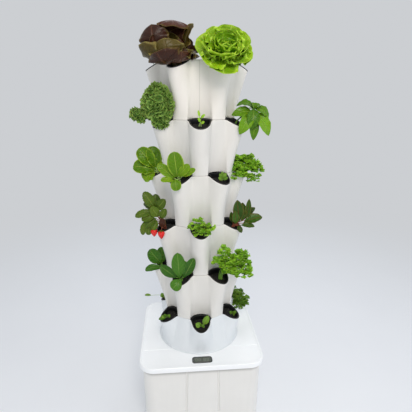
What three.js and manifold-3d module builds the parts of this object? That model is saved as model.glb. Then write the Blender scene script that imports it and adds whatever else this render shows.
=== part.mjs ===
// Vertical planter tower: a lidded water tank carries six stacked tiers with six plant pockets each.
// Millimetres, +Z up, front towards -Y. The origin is the centre of the tank's foot on the ground.
import * as THREE from "three";
import { mergeVertices } from "three/addons/utils/BufferGeometryUtils.js";
import Module from "manifold-3d";

// Stack and pockets
const tierCount = 6;
const pocketCount = 6;
const tierPitch = 178;
const baseTierHeight = 124;
const tipRadius = 170;
const cornerRadius = 127;
const pocketWidth = 76;
const rimDip = 26;
const valleyRadius = 96;
const valleyArch = 5;
const tierWall = 3;
const deckThickness = 3;
const deckHoleRadius = 62;
const flareCurve = 1.15;
const middleShare = 0.5;
const seatGap = 0.3;

// Locating tongues under each upper tier, and the base tier's foot
const tongueCount = 3;
const tongueDepth = 10;
const tongueThickness = 3;
const tongueWidth = 34;
const tongueClearance = 0.8;
const footRadius = 153;
const flangeWidth = 4;
const flangeHeight = 3;
const spigotDepth = 14;
const spigotWall = 8;
const spigotGap = 1.2;

// Planting cups
const cupDepth = 62;
const cupTilt = THREE.MathUtils.degToRad(18);
const cupEndGap = 0.4;
const cupSideGap = 1.3;
const cupBackGap = 3;
const cupRimDrop = 1;
const cupWall = 3;
const mediumDrop = 8;
const cupTaperShare = 0.8;

// Tank and lid
const tankHeight = 300;
const tankDraft = 4;
const tankWall = 6;
const tankRimWidth = 6.5;
const tankRimHeight = 8;
const grooveWidth = 9;
const grooveDepth = 3.5;
const grooveTopSpacing = 109;
const grooveFootSpacing = 126;
const lidCorner = 56;
const lidClearance = 0.5;
const lidPlate = 5;
const lidSkirt = 19;
const lidWall = 5;
const lidLipWidth = 9;
const lidLipHeight = 2;
const lidHoleRadius = 60;

// Display, fill opening and cable outlet
const displayWidth = 72;
const displayDepth = 33;
const displayCorner = 10;
const displayHeight = 4;
const displayBorder = 4.5;
const displaySink = 2.5;
const displayFromFoot = 13.5;
const moduleHeight = 14;
const moduleMargin = 9;
const fillHoleRadius = 17;
const fillCapRadius = 22;
const fillCapHeight = 5;
const fillPlugDepth = 14;
const fillCapFromFoot = 5;
const fillCapFromEdge = 19;
const gripWidth = 7;
const gripHeight = 9;
const cableHoleRadius = 8;
const cableBoreRadius = 4;
const cableFlangeRadius = 12;
const cableFlangeThickness = 2.5;
const cableDrop = 34;
const fitGap = 0.4;

// Pump, riser pipe and spray cap
const pumpWidth = 92;
const pumpLength = 84;
const pumpHeight = 78;
const pumpCorner = 12;
const chamberRadius = 26;
const chamberDepth = 50;
const impellerRadius = 22;
const impellerThickness = 14;
const bladeCount = 6;
const bladeThickness = 3;
const hubRadius = 7;
const shaftRadius = 3;
const strainerThickness = 5;
const strainerSlot = 4;
const strainerSlots = 9;
const outletRadius = 14;
const outletHeight = 22;
const pipeRadius = 10;
const pipeBore = 7.5;
const couplingRadius = 14;
const couplingLength = 60;
const sprayRadius = 42;
const sprayHeight = 26;
const sprayBelowRim = 18;
const pipeSocket = 15;
const shaftSocket = 8;
const impellerClearance = 4;

// Grown plants: ring and pocket bearing in degrees, then shares of the tip radius. They give the middle of the
// crown outwards and sideways from the tower's axis, its half depth and half spread, and its foot and top
// measured from the seam above the pocket.
const plantShares = [
  { ring: 1, bearing: -30, outward: 0.88, side: -0.15, depth: 0.38, spread: 0.51, low: -0.03, top: 0.61, leaves: 5 },
  { ring: 1, bearing: 30, outward: 0.88, side: 0.03, depth: 0.39, spread: 0.54, low: -0.03, top: 0.59, leaves: 6 },
  { ring: 1, bearing: -150, outward: 0.79, side: -0.16, depth: 0.26, spread: 0.32, low: -0.02, top: 0.47, leaves: 5 },
  { ring: 2, bearing: -60, outward: 1.14, side: 0.18, depth: 0.28, spread: 0.42, low: -0.16, top: 0.69, leaves: 4 },
  { ring: 2, bearing: 60, outward: 1.18, side: -0.18, depth: 0.16, spread: 0.41, low: -0.33, top: 0.35, leaves: 5 },
  { ring: 3, bearing: -90, outward: 1.1, side: -0.09, depth: 0.19, spread: 0.28, low: -0.15, top: 0.52, leaves: 4 },
  { ring: 3, bearing: -30, outward: 1.14, side: 0.11, depth: 0.24, spread: 0.35, low: -0.18, top: 0.53, leaves: 5 },
  { ring: 3, bearing: 90, outward: 1.12, side: 0.06, depth: 0.18, spread: 0.36, low: -0.22, top: 0.36, leaves: 6 },
  { ring: 4, bearing: -60, outward: 1.16, side: 0.16, depth: 0.26, spread: 0.39, low: -0.18, top: 0.66, leaves: 5 },
  { ring: 4, bearing: 0, outward: 1.05, side: 0, depth: 0.16, spread: 0.24, low: -0.13, top: 0.33, leaves: 5 },
  { ring: 4, bearing: 60, outward: 1.15, side: -0.15, depth: 0.24, spread: 0.36, low: -0.05, top: 0.54, leaves: 4 },
  { ring: 5, bearing: -90, outward: 1.09, side: -0.09, depth: 0.16, spread: 0.25, low: -0.16, top: 0.36, leaves: 4 },
  { ring: 5, bearing: -30, outward: 1.13, side: 0.08, depth: 0.24, spread: 0.34, low: -0.12, top: 0.64, leaves: 5 },
  { ring: 5, bearing: 30, outward: 1.15, side: 0.07, depth: 0.24, spread: 0.38, low: 0.04, top: 0.66, leaves: 6 },
  { ring: 6, bearing: 120, outward: 1.09, side: -0.09, depth: 0.15, spread: 0.25, low: -0.16, top: 0.31, leaves: 5 },
];
const crownSteps = 10;
const crownRuffleShare = 0.09;
const crownLatitudes = [-60, -20, 20, 60];
const stemSides = 6;
const stemShare = 0.14;

// How finely round shapes are cut
const lobeSteps = 3;
const cornerSteps = 4;
const roundSteps = 16;
const holeSteps = 24;
const cutOverrun = 5;

// Sizes that follow from those above
const sector = (2 * Math.PI) / pocketCount;
const halfWidth = pocketWidth / 2;
const cornerAngle = Math.asin(halfWidth / cornerRadius);
const chord = Math.sqrt(cornerRadius ** 2 - halfWidth ** 2);
const lobeReach = tipRadius - chord;
const valleyDepth = chord - valleyRadius;
const lidTop = tankHeight + seatGap + lidPlate;
const footReach = footRadius + flangeWidth;
const lidSide = 2 * (footReach + fillCapFromFoot + 2 * fillCapRadius + fillCapFromEdge);
const tankRimSide = lidSide - 2 * (lidWall + lidClearance);
const tankTopSide = tankRimSide - 2 * tankRimWidth;
const tankFootSide = tankTopSide - 2 * tankDraft;
const tankCorner = lidCorner - lidWall - lidClearance - tankRimWidth;
const displayY = -(footReach + displayFromFoot + displayDepth / 2);
const fillY = footReach + fillCapFromFoot + fillCapRadius;
const lowestSeam = lidTop + seatGap + baseTierHeight;
const seamOf = (ring) => lowestSeam + (tierCount - ring) * tierPitch;
const turnOf = (ring) => (ring % 2 ? sector / 2 : 0);
const cableHeight = tankHeight - cableDrop;
const rearFace = tankFootSide / 2 + tankDraft * (cableHeight / tankHeight);
const pumpFoot = tankWall + seatGap;
const pumpMiddle = pumpFoot + pumpHeight / 2;
const pumpFront = -pumpLength / 2;
const outletTop = pumpFoot + pumpHeight + outletHeight;
const riserFoot = outletTop - pipeSocket + seatGap;
const riserTop = seamOf(1) - sprayBelowRim - sprayHeight / 2;
const riserJoint = (riserFoot + riserTop) / 2;

const wasm = await Module();
wasm.setup();

const finishes = {
  whiteShell: { color: 0xebe8e2, roughness: 0.38, metalness: 0 },
  whiteBase: { color: 0xe4e6e6, roughness: 0.35, metalness: 0 },
  blackCup: { color: 0x121314, roughness: 0.55, metalness: 0 },
  displayBorder: { color: 0x2a2d2b, roughness: 0.3, metalness: 0 },
  displayGlass: { color: 0x4a4f44, roughness: 0.15, metalness: 0 },
  pumpPlastic: { color: 0x1c1e20, roughness: 0.5, metalness: 0 },
  pipePlastic: { color: 0xd8dadb, roughness: 0.45, metalness: 0 },
  rubber: { color: 0x1a1a1a, roughness: 0.85, metalness: 0 },
};

// A closed mesh as a solid that can be cut and joined
function solidOf(geometry) {
  const bare = geometry.index ? geometry.toNonIndexed() : geometry.clone();
  bare.deleteAttribute("normal");
  bare.deleteAttribute("uv");
  const merged = mergeVertices(bare);
  return new wasm.Manifold(
    new wasm.Mesh({
      numProp: 3,
      vertProperties: merged.attributes.position.array,
      triVerts: new Uint32Array(merged.index.array),
    }),
  );
}

// A solid as geometry for a mesh
function geometryOf(solid) {
  const mesh = solid.getMesh();
  const geometry = new THREE.BufferGeometry();
  geometry.setAttribute("position", new THREE.BufferAttribute(mesh.vertProperties, 3));
  geometry.setIndex(new THREE.BufferAttribute(mesh.triVerts, 1));
  geometry.computeVertexNormals();
  return geometry;
}

function addPart(group, name, geometry, finish) {
  const mesh = new THREE.Mesh(geometry, new THREE.MeshStandardMaterial(finishes[finish]));
  mesh.name = name;
  group.add(mesh);
  return mesh;
}

// A skin over rings of points: open ends are closed by fans, or the last ring joins the first
function loft(rings, joinEnds) {
  const count = rings[0].length;
  const points = rings.flat();
  const faces = [];
  const pairs = joinEnds ? rings.length : rings.length - 1;
  for (let k = 0; k < pairs; k++) {
    const low = k * count;
    const high = ((k + 1) % rings.length) * count;
    for (let i = 0; i < count; i++) {
      const j = (i + 1) % count;
      faces.push(low + i, low + j, high + j, low + i, high + j, high + i);
    }
  }
  if (!joinEnds) {
    for (const [ring, first, flip] of [[rings[0], 0, true], [rings.at(-1), points.length - count, false]]) {
      const middle = ring.reduce((sum, p) => sum.add(p), new THREE.Vector3()).divideScalar(count);
      points.push(middle);
      const tip = points.length - 1;
      for (let i = 0; i < count; i++) {
        const j = (i + 1) % count;
        faces.push(first + (flip ? j : i), first + (flip ? i : j), tip);
      }
    }
  }
  const geometry = new THREE.BufferGeometry().setFromPoints(points);
  geometry.setIndex(faces);
  return geometry;
}

const polar = (radius, angle, z) =>
  new THREE.Vector3(radius * Math.sin(angle), -radius * Math.cos(angle), z);

// A point given outwards and sideways from a pocket's direction
function pocketPoint(outward, sideways, angle, z) {
  const x = outward * Math.sin(angle) + sideways * Math.cos(angle);
  const y = -outward * Math.cos(angle) + sideways * Math.sin(angle);
  return new THREE.Vector3(x, y, z);
}

// The plan of a tier's rim, inset by a wall: lobes with flat seats between them, lobes dipping outwards
function rimRing(turn, inset, z) {
  const ring = [];
  for (let k = 0; k < pocketCount; k++) {
    const angle = turn + k * sector;
    const half = halfWidth - inset;
    for (let i = -lobeSteps; i <= lobeSteps; i++) {
      const swing = (Math.PI / 2) * (1 - Math.abs(i) / lobeSteps);
      const atCorner = Math.abs(i) === lobeSteps;
      const outward = chord + (lobeReach - inset) * Math.sin(swing) - (atCorner ? inset : 0);
      const sideways = Math.sign(i) * half * Math.cos(swing);
      ring.push(pocketPoint(outward, sideways, angle, z - rimDip * Math.sin(swing)));
    }
    for (let i = 1; i < 2 * lobeSteps; i++) {
      const along = cornerAngle + (i / (2 * lobeSteps)) * (sector - 2 * cornerAngle);
      ring.push(polar(cornerRadius - inset, angle + along, z));
    }
  }
  return ring;
}

// The plan of a tier's foot, inset by a wall: ridges that stand on the seats below, valleys over its pockets
function footRing(turn, inset, z) {
  const ring = [];
  const ridgeAngle = sector / 2 - cornerAngle;
  for (let k = 0; k < pocketCount; k++) {
    const angle = turn + k * sector;
    for (let i = -lobeSteps; i <= lobeSteps; i++) {
      const atCorner = Math.abs(i) === lobeSteps;
      const bearing = angle + (i / lobeSteps) * (ridgeAngle - (atCorner ? inset / cornerRadius : 0));
      ring.push(polar(cornerRadius - inset, bearing, z));
    }
    for (let i = 1; i < 2 * lobeSteps; i++) {
      const swing = (Math.PI * i) / (2 * lobeSteps);
      const outward = chord - (valleyDepth + inset) * Math.sin(swing);
      const sideways = -(halfWidth + inset) * Math.cos(swing);
      ring.push(pocketPoint(outward, sideways, angle + sector / 2, z + valleyArch * Math.sin(swing)));
    }
  }
  return ring;
}

// A round ring whose points face those of a tier's rim
function circleRing(radius, turn, z) {
  return rimRing(turn, 0, z).map((p) => polar(radius, Math.atan2(p.x, -p.y), z));
}

const mixRings = (from, to, share) => from.map((p, i) => p.clone().lerp(to[i], share));

// How far a wall has flared from foot to rim at a share of its height, as a plan blend and a height blend
function wallRing(foot, rim, heightShare) {
  return foot.map((p, i) => {
    const flared = p.clone().lerp(rim[i], heightShare ** flareCurve);
    flared.z = p.z + (rim[i].z - p.z) * heightShare;
    return flared;
  });
}

// One upper tier: a flared lobed wall, a deck with a hole for the riser, and a tongue under each ridge
function upperTier(ring) {
  const turn = turnOf(ring);
  const foot = seamOf(ring) - tierPitch + seatGap;
  const rim = seamOf(ring);
  const outerFoot = footRing(turn, 0, foot);
  const outerRim = rimRing(turn, 0, rim);
  const innerFoot = footRing(turn, tierWall, foot);
  const innerRim = rimRing(turn, tierWall, rim);
  const deckShare = deckThickness / tierPitch;
  const rings = [outerFoot, wallRing(outerFoot, outerRim, middleShare), outerRim, innerRim];
  rings.push(wallRing(innerFoot, innerRim, middleShare), wallRing(innerFoot, innerRim, deckShare));
  rings.push(circleRing(deckHoleRadius, turn, foot + deckThickness), circleRing(deckHoleRadius, turn, foot));
  let tier = solidOf(loft(rings, true));
  for (let k = 0; k < tongueCount; k++) {
    tier = tier.add(tongue(turn + (2 * Math.PI * k) / tongueCount, foot));
  }
  return geometryOf(tier);
}

// A tongue that reaches down inside the seat of the tier below
function tongue(angle, foot) {
  const lean = (cornerRadius - valleyRadius) / tierPitch;
  const outerRadius = cornerRadius - tierWall - tongueDepth * lean - tongueClearance;
  const height = tongueDepth + deckThickness;
  const block = new THREE.BoxGeometry(tongueWidth, tongueThickness, height);
  const outward = outerRadius * Math.cos(tongueWidth / 2 / outerRadius) - tongueThickness / 2;
  block.translate(0, -outward, foot + deckThickness - height / 2);
  return solidOf(block.rotateZ(angle));
}

// The base tier: the same rim over a round foot with a flange, and a spigot into the lid
function baseTier(ring) {
  const turn = turnOf(ring);
  const foot = lidTop + seatGap;
  const rim = seamOf(ring);
  const spigotRadius = lidHoleRadius - spigotGap;
  const outerFoot = circleRing(footRadius, turn, foot + flangeHeight);
  const innerFoot = circleRing(footRadius - tierWall, turn, foot + deckThickness);
  const outerRim = rimRing(turn, 0, rim);
  const innerRim = rimRing(turn, tierWall, rim);
  const rings = [circleRing(footReach, turn, foot)];
  rings.push(circleRing(footReach, turn, foot + flangeHeight / 2), outerFoot);
  rings.push(mixRings(outerFoot, outerRim, middleShare), outerRim, innerRim);
  rings.push(mixRings(innerFoot, innerRim, middleShare), innerFoot);
  rings.push(circleRing(spigotRadius - spigotWall, turn, foot + deckThickness));
  rings.push(circleRing(spigotRadius - spigotWall, turn, foot - spigotDepth));
  rings.push(circleRing(spigotRadius, turn, foot - spigotDepth), circleRing(spigotRadius, turn, foot));
  return loft(rings, true);
}

// A planting cup full of growing medium, hung in one lobe: rim follows the lobe, body leans with it
function cupSolid(angle, seam) {
  const steps = 2 * lobeSteps;
  const rim = [];
  for (let i = 0; i < 2 * steps; i++) {
    const swing = (Math.PI * i) / steps - Math.PI / 2;
    const front = Math.cos(swing) >= 0;
    const reach = front ? lobeReach - tierWall - cupEndGap : valleyDepth - cupBackGap;
    const along = Math.cos(swing);
    rim.push({
      outward: chord + reach * along,
      sideways: (halfWidth - tierWall - cupSideGap) * Math.sin(swing),
      drop: cupRimDrop + (front ? rimDip * along : 0),
    });
  }
  const middle = rim.reduce((sum, p) => sum + p.outward, 0) / rim.length;
  const ringAt = (scale, drop, lean) =>
    rim.map((p) =>
      pocketPoint(
        middle + (p.outward - middle) * scale - lean * Math.tan(cupTilt),
        p.sideways * scale,
        angle,
        seam - p.drop - drop,
      ),
    );
  const innerScale = 1 - cupWall / halfWidth;
  const rings = [
    ringAt(cupTaperShare, cupDepth, cupDepth),
    ringAt(1, 0, 0),
    ringAt(innerScale, 0, 0),
    ringAt(innerScale, mediumDrop, mediumDrop),
  ];
  return solidOf(loft(rings, false));
}

// The growth of a plant: a rounded ruffled crown held out of its pocket by a stem from the growing medium
function crownSolid(angle, seam, shares) {
  const outward = shares.outward * tipRadius;
  const side = shares.side * tipRadius;
  const spread = shares.spread * tipRadius;
  const middle = ((shares.low + shares.top) / 2) * tipRadius;
  const halfHeight = ((shares.top - shares.low) / 2) * tipRadius;
  const rings = crownLatitudes.map((degrees) => {
    const latitude = THREE.MathUtils.degToRad(degrees);
    const ring = [];
    for (let i = 0; i < crownSteps; i++) {
      const swing = (2 * Math.PI * i) / crownSteps - Math.PI / 2;
      const size = Math.cos(latitude) * (1 + crownRuffleShare * Math.cos(shares.leaves * swing));
      const reach = shares.depth * tipRadius * size * Math.cos(swing);
      const across = side + spread * size * Math.sin(swing);
      ring.push(pocketPoint(outward + reach, across, angle, seam + middle + halfHeight * Math.sin(latitude)));
    }
    return ring;
  });
  const stemRing = (stemOutward, stemSide, z) => {
    const ring = [];
    for (let i = 0; i < stemSides; i++) {
      const swing = (2 * Math.PI * i) / stemSides - Math.PI / 2;
      const reach = stemShare * spread * Math.cos(swing);
      ring.push(pocketPoint(stemOutward + reach, stemSide + stemShare * spread * Math.sin(swing), angle, z));
    }
    return ring;
  };
  const root = seam - mediumDrop - rimDip / 2 - cupWall;
  const stem = loft([stemRing(chord, 0, root), stemRing(outward, side, seam + middle)], false);
  return solidOf(loft(rings, false)).add(solidOf(stem));
}

// A rounded square outline at one height
function squareRing(side, corner, z) {
  const ring = [];
  const reach = side / 2 - corner;
  for (let k = 0; k < 4; k++) {
    const start = (k * Math.PI) / 2;
    const cx = reach * Math.SQRT2 * Math.cos(start + Math.PI / 4);
    const cy = reach * Math.SQRT2 * Math.sin(start + Math.PI / 4);
    for (let i = 0; i <= cornerSteps; i++) {
      const swing = start + (i / cornerSteps) * (Math.PI / 2);
      ring.push(new THREE.Vector3(cx + corner * Math.cos(swing), cy + corner * Math.sin(swing), z));
    }
  }
  return ring;
}

// The tank: a drafted rounded box, open above, with a rim under the lid and two grooves down its front
function tankShape() {
  const rimFoot = tankHeight - tankRimHeight;
  const innerTop = tankTopSide - 2 * tankWall;
  const rings = [
    squareRing(tankFootSide, tankCorner, 0),
    squareRing(tankTopSide, tankCorner, rimFoot),
    squareRing(tankRimSide, tankCorner + tankRimWidth, rimFoot),
    squareRing(tankRimSide, tankCorner + tankRimWidth, tankHeight),
    squareRing(innerTop, tankCorner - tankWall, tankHeight),
    squareRing(tankFootSide - 2 * tankWall, tankCorner - tankWall, tankWall),
  ];
  let tank = solidOf(loft(rings, false));
  for (const side of [-1, 1]) tank = tank.subtract(grooveCutter(side));
  return geometryOf(tank.subtract(rearCylinder(cableHoleRadius)));
}

// The wedge that cuts one front groove, from the foot to just under the rim
function grooveCutter(side) {
  const level = (spacing, faceSide, z) => {
    const middle = (side * spacing) / 2;
    const face = -faceSide / 2;
    return [
      new THREE.Vector3(middle - grooveWidth / 2, face - cutOverrun, z),
      new THREE.Vector3(middle + grooveWidth / 2, face - cutOverrun, z),
      new THREE.Vector3(middle + grooveWidth / 2, face, z),
      new THREE.Vector3(middle + grooveWidth / 4, face + grooveDepth, z),
      new THREE.Vector3(middle - grooveWidth / 4, face + grooveDepth, z),
      new THREE.Vector3(middle - grooveWidth / 2, face, z),
    ];
  };
  const foot = level(grooveFootSpacing, tankFootSide, 0);
  const top = level(grooveTopSpacing, tankTopSide, tankHeight - 2 * tankRimHeight);
  return solidOf(loft([foot, top], false));
}

// A cylinder through the tank's rear wall at the cable outlet
function rearCylinder(radius) {
  const length = tankWall + 2 * cutOverrun;
  const cylinder = new THREE.CylinderGeometry(radius, radius, length, roundSteps);
  return solidOf(cylinder.translate(0, rearFace - tankWall / 2, cableHeight));
}

// A rubber sleeve with a flange on each side of the tank's wall
function cableGrommet() {
  const body = tankWall / 2 + fitGap;
  const end = body + cableFlangeThickness;
  return latheAround([
    [cableBoreRadius, -end],
    [cableFlangeRadius, -end],
    [cableFlangeRadius, -body],
    [cableHoleRadius - fitGap, -body],
    [cableHoleRadius - fitGap, body],
    [cableFlangeRadius, body],
    [cableFlangeRadius, end],
    [cableBoreRadius, end],
    [cableBoreRadius, -end],
  ]).translate(0, rearFace - tankWall / 2, cableHeight);
}

// A turned shape about the Y axis from radius and height pairs
function latheAround(profile) {
  return new THREE.LatheGeometry(
    profile.map(([radius, height]) => new THREE.Vector2(radius, height)),
    roundSteps,
  );
}

// The same about the Z axis
const turned = (profile) => latheAround(profile).rotateX(Math.PI / 2);

// A flat bar with a rounded rectangular outline, centred across the tower, its foot at z
function roundedBar(width, depth, corner, height, y, z) {
  const shape = new THREE.Shape();
  roundedOutline(shape, width, depth, corner);
  const options = { depth: height, bevelEnabled: false, curveSegments: cornerSteps };
  return new THREE.ExtrudeGeometry(shape, options).translate(0, y, z);
}

function roundedOutline(path, width, depth, corner) {
  const x = width / 2 - corner;
  const y = depth / 2 - corner;
  path.absarc(x, y, corner, 0, Math.PI / 2);
  path.absarc(-x, y, corner, Math.PI / 2, Math.PI);
  path.absarc(-x, -y, corner, Math.PI, 1.5 * Math.PI);
  path.absarc(x, -y, corner, 1.5 * Math.PI, 2 * Math.PI);
  path.closePath();
}

// The lid: a plate with a raised lip and a skirt round the tank's rim, cut for riser, display and filling
function lidShape() {
  const lipTop = lidTop + lidLipHeight;
  const skirtFoot = lipTop - lidSkirt;
  const innerSide = lidSide - 2 * lidWall;
  const fieldSide = lidSide - 2 * lidLipWidth;
  const rings = [
    squareRing(innerSide, lidCorner - lidWall, lidTop - lidPlate),
    squareRing(innerSide, lidCorner - lidWall, skirtFoot),
    squareRing(lidSide, lidCorner, skirtFoot),
    squareRing(lidSide, lidCorner, lidTop),
    squareRing(lidSide - 2 * lidLipHeight, lidCorner - lidLipHeight, lipTop),
    squareRing(fieldSide, lidCorner - lidLipWidth, lipTop),
    squareRing(fieldSide - lidLipHeight, lidCorner - lidLipWidth, lidTop),
  ];
  const recess = roundedBar(
    displayWidth + 2 * fitGap,
    displayDepth + 2 * fitGap,
    displayCorner + fitGap,
    displaySink + cutOverrun,
    displayY,
    lidTop - displaySink,
  );
  const moduleHole = new THREE.BoxGeometry(
    displayWidth - 2 * moduleMargin,
    displayDepth - 2 * moduleMargin,
    lidPlate + 2 * cutOverrun,
  );
  const through = lidPlate + 2 * cutOverrun;
  const fillHole = new THREE.CylinderGeometry(fillHoleRadius, fillHoleRadius, through, holeSteps);
  const riserHole = new THREE.CylinderGeometry(lidHoleRadius, lidHoleRadius, through, holeSteps);
  return geometryOf(
    solidOf(loft(rings, false))
      .subtract(solidOf(riserHole.rotateX(Math.PI / 2).translate(0, 0, lidTop)))
      .subtract(solidOf(recess))
      .subtract(solidOf(moduleHole.translate(0, displayY, lidTop)))
      .subtract(solidOf(fillHole.rotateX(Math.PI / 2).translate(0, fillY, lidTop))),
  );
}

// The display's raised border, a window let into it, and the electronics box under them
function addDisplay(group) {
  const seat = lidTop - displaySink + seatGap;
  const frame = new THREE.Shape();
  roundedOutline(frame, displayWidth, displayDepth, displayCorner);
  const windowWidth = displayWidth - 2 * displayBorder;
  const windowDepth = displayDepth - 2 * displayBorder;
  const windowCorner = displayCorner - displayBorder;
  const opening = new THREE.Path();
  roundedOutline(opening, windowWidth, windowDepth, windowCorner);
  frame.holes.push(opening);
  const options = { depth: displayHeight, bevelEnabled: false, curveSegments: cornerSteps };
  const bezel = new THREE.ExtrudeGeometry(frame, options).translate(0, displayY, seat);
  addPart(group, "display_bezel", bezel, "displayBorder");
  const glass = roundedBar(
    windowWidth - 2 * seatGap,
    windowDepth - 2 * seatGap,
    windowCorner - seatGap,
    displayHeight - seatGap * 2,
    displayY,
    seat,
  );
  addPart(group, "display_window", glass, "displayGlass");
  const module = new THREE.BoxGeometry(
    displayWidth - 2 * moduleMargin - 2 * fitGap,
    displayDepth - 2 * moduleMargin - 2 * fitGap,
    moduleHeight,
  );
  module.translate(0, displayY, lidTop - displaySink - moduleHeight / 2);
  addPart(group, "display_module", module, "pumpPlastic");
}

// The plug over the fill opening, with a grip bar
function fillCap() {
  const cap = turned([
    [0, -fillPlugDepth],
    [fillHoleRadius - fitGap, -fillPlugDepth],
    [fillHoleRadius - fitGap, 0],
    [fillCapRadius, 0],
    [fillCapRadius, fillCapHeight / 2],
    [fillCapRadius - fillCapHeight / 2, fillCapHeight],
    [0, fillCapHeight],
  ]);
  const grip = new THREE.BoxGeometry(2 * (fillCapRadius - fillCapHeight), gripWidth, gripHeight);
  grip.translate(0, 0, fillCapHeight + gripHeight / 2 - fitGap);
  return geometryOf(solidOf(cap).add(solidOf(grip))).translate(0, fillY, lidTop + seatGap);
}

// A cylinder along Y from one place to another at the pump's middle height
function pumpCylinder(radius, from, to) {
  const cylinder = new THREE.CylinderGeometry(radius, radius, to - from, roundSteps);
  return cylinder.translate(0, (from + to) / 2, pumpMiddle);
}

function standingCylinder(radius, foot, top) {
  const cylinder = new THREE.CylinderGeometry(radius, radius, top - foot, roundSteps).rotateX(Math.PI / 2);
  return cylinder.translate(0, 0, (foot + top) / 2);
}

// The pump's housing on the tank's floor, open in front for the impeller and above for the riser
function pumpBody() {
  const chamberEnd = pumpFront + chamberDepth;
  const housing = solidOf(roundedBar(pumpWidth, pumpLength, pumpCorner, pumpHeight, 0, pumpFoot));
  const socketFoot = outletTop - pipeSocket;
  return geometryOf(
    housing
      .add(solidOf(standingCylinder(outletRadius, pumpMiddle, outletTop)))
      .subtract(solidOf(pumpCylinder(chamberRadius, pumpFront - cutOverrun, chamberEnd)))
      .subtract(solidOf(pumpCylinder(shaftRadius + fitGap, chamberEnd - cutOverrun, chamberEnd + shaftSocket)))
      .subtract(solidOf(standingCylinder(pipeBore, pumpMiddle, outletTop + cutOverrun)))
      .subtract(solidOf(standingCylinder(pipeRadius + fitGap, socketFoot, outletTop + cutOverrun))),
  );
}

// The impeller: a hub, a back plate and blades on a shaft that turns in the housing
function impeller() {
  const front = pumpFront + impellerClearance;
  const back = front + impellerThickness;
  const shaftEnd = pumpFront + chamberDepth + shaftSocket - fitGap;
  let rotor = solidOf(pumpCylinder(hubRadius, front, back));
  rotor = rotor.add(solidOf(pumpCylinder(shaftRadius, front, shaftEnd)));
  rotor = rotor.add(solidOf(pumpCylinder(impellerRadius, back - bladeThickness, back)));
  for (let k = 0; k < bladeCount; k++) {
    const blade = new THREE.BoxGeometry(impellerRadius - shaftRadius, impellerThickness, bladeThickness);
    blade.translate((impellerRadius + shaftRadius) / 2, (front + back) / 2, 0);
    blade.rotateY((2 * Math.PI * k) / bladeCount);
    rotor = rotor.add(solidOf(blade.translate(0, 0, pumpMiddle)));
  }
  return geometryOf(rotor);
}

// The slotted plate over the pump's intake
function strainer() {
  const plate = new THREE.BoxGeometry(pumpWidth - 2 * pumpCorner, strainerThickness, pumpHeight - 2 * fitGap);
  const y = pumpFront - seatGap - strainerThickness / 2;
  let cover = solidOf(plate.translate(0, y, pumpMiddle));
  const pitch = (2 * chamberRadius) / strainerSlots;
  for (let k = 0; k < strainerSlots; k++) {
    const slot = new THREE.BoxGeometry(strainerSlot, strainerThickness + 2 * cutOverrun, chamberRadius * 2);
    cover = cover.subtract(solidOf(slot.translate((k - (strainerSlots - 1) / 2) * pitch, y, pumpMiddle)));
  }
  return geometryOf(cover);
}

// A length of pipe
const tube = (inner, outer, foot, top) =>
  turned([
    [inner, foot],
    [outer, foot],
    [outer, top],
    [inner, top],
    [inner, foot],
  ]);

// The cap on the riser that spreads the water over the top tier
function sprayCap() {
  const inner = riserTop + seatGap;
  const foot = riserTop - pipeSocket;
  const top = riserTop + sprayHeight / 2;
  const edge = top - sprayHeight / 2;
  return turned([
    [0, inner],
    [pipeRadius + fitGap, inner],
    [pipeRadius + fitGap, foot],
    [couplingRadius, foot],
    [couplingRadius, edge],
    [sprayRadius, edge - bladeThickness],
    [sprayRadius, edge],
    [couplingRadius, top],
    [0, top],
  ]);
}

// The whole tower
const tower = new THREE.Group();
const base = new THREE.Group();
const planting = new THREE.Group();
tower.add(base, planting);

addPart(base, "tank", tankShape(), "whiteBase");
addPart(base, "lid", lidShape(), "whiteBase");
addDisplay(base);
addPart(base, "fill_cap", fillCap(), "whiteBase");
addPart(base, "cable_grommet", cableGrommet(), "rubber");
addPart(base, "pump_body", pumpBody(), "pumpPlastic");
addPart(base, "impeller", impeller(), "pumpPlastic");
addPart(base, "pump_strainer", strainer(), "pumpPlastic");
addPart(base, "riser_lower", tube(pipeBore, pipeRadius, riserFoot, riserJoint - seatGap / 2), "pipePlastic");
addPart(base, "riser_upper", tube(pipeBore, pipeRadius, riserJoint + seatGap / 2, riserTop), "pipePlastic");
const sleeveFoot = riserJoint - couplingLength / 2;
const sleeve = tube(pipeRadius + fitGap, couplingRadius, sleeveFoot, sleeveFoot + couplingLength);
addPart(base, "riser_coupling", sleeve, "pipePlastic");
addPart(base, "spray_cap", sprayCap(), "pipePlastic");

for (let ring = 1; ring <= tierCount; ring++) {
  const shell = ring === tierCount ? baseTier(ring) : upperTier(ring);
  addPart(planting, `tier_${ring}`, shell, "whiteShell");
  for (let k = 0; k < pocketCount; k++) {
    const angle = turnOf(ring) + k * sector;
    const degrees = Math.round(THREE.MathUtils.radToDeg(angle));
    const shares = plantShares.find((p) => p.ring === ring && (p.bearing + 360) % 360 === degrees);
    const cup = cupSolid(angle, seamOf(ring));
    const filled = shares ? cup.add(crownSolid(angle, seamOf(ring), shares)) : cup;
    addPart(planting, `cup_${ring}_${degrees}`, geometryOf(filled), "blackCup");
  }
}

export default tower;
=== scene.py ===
import math

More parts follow.
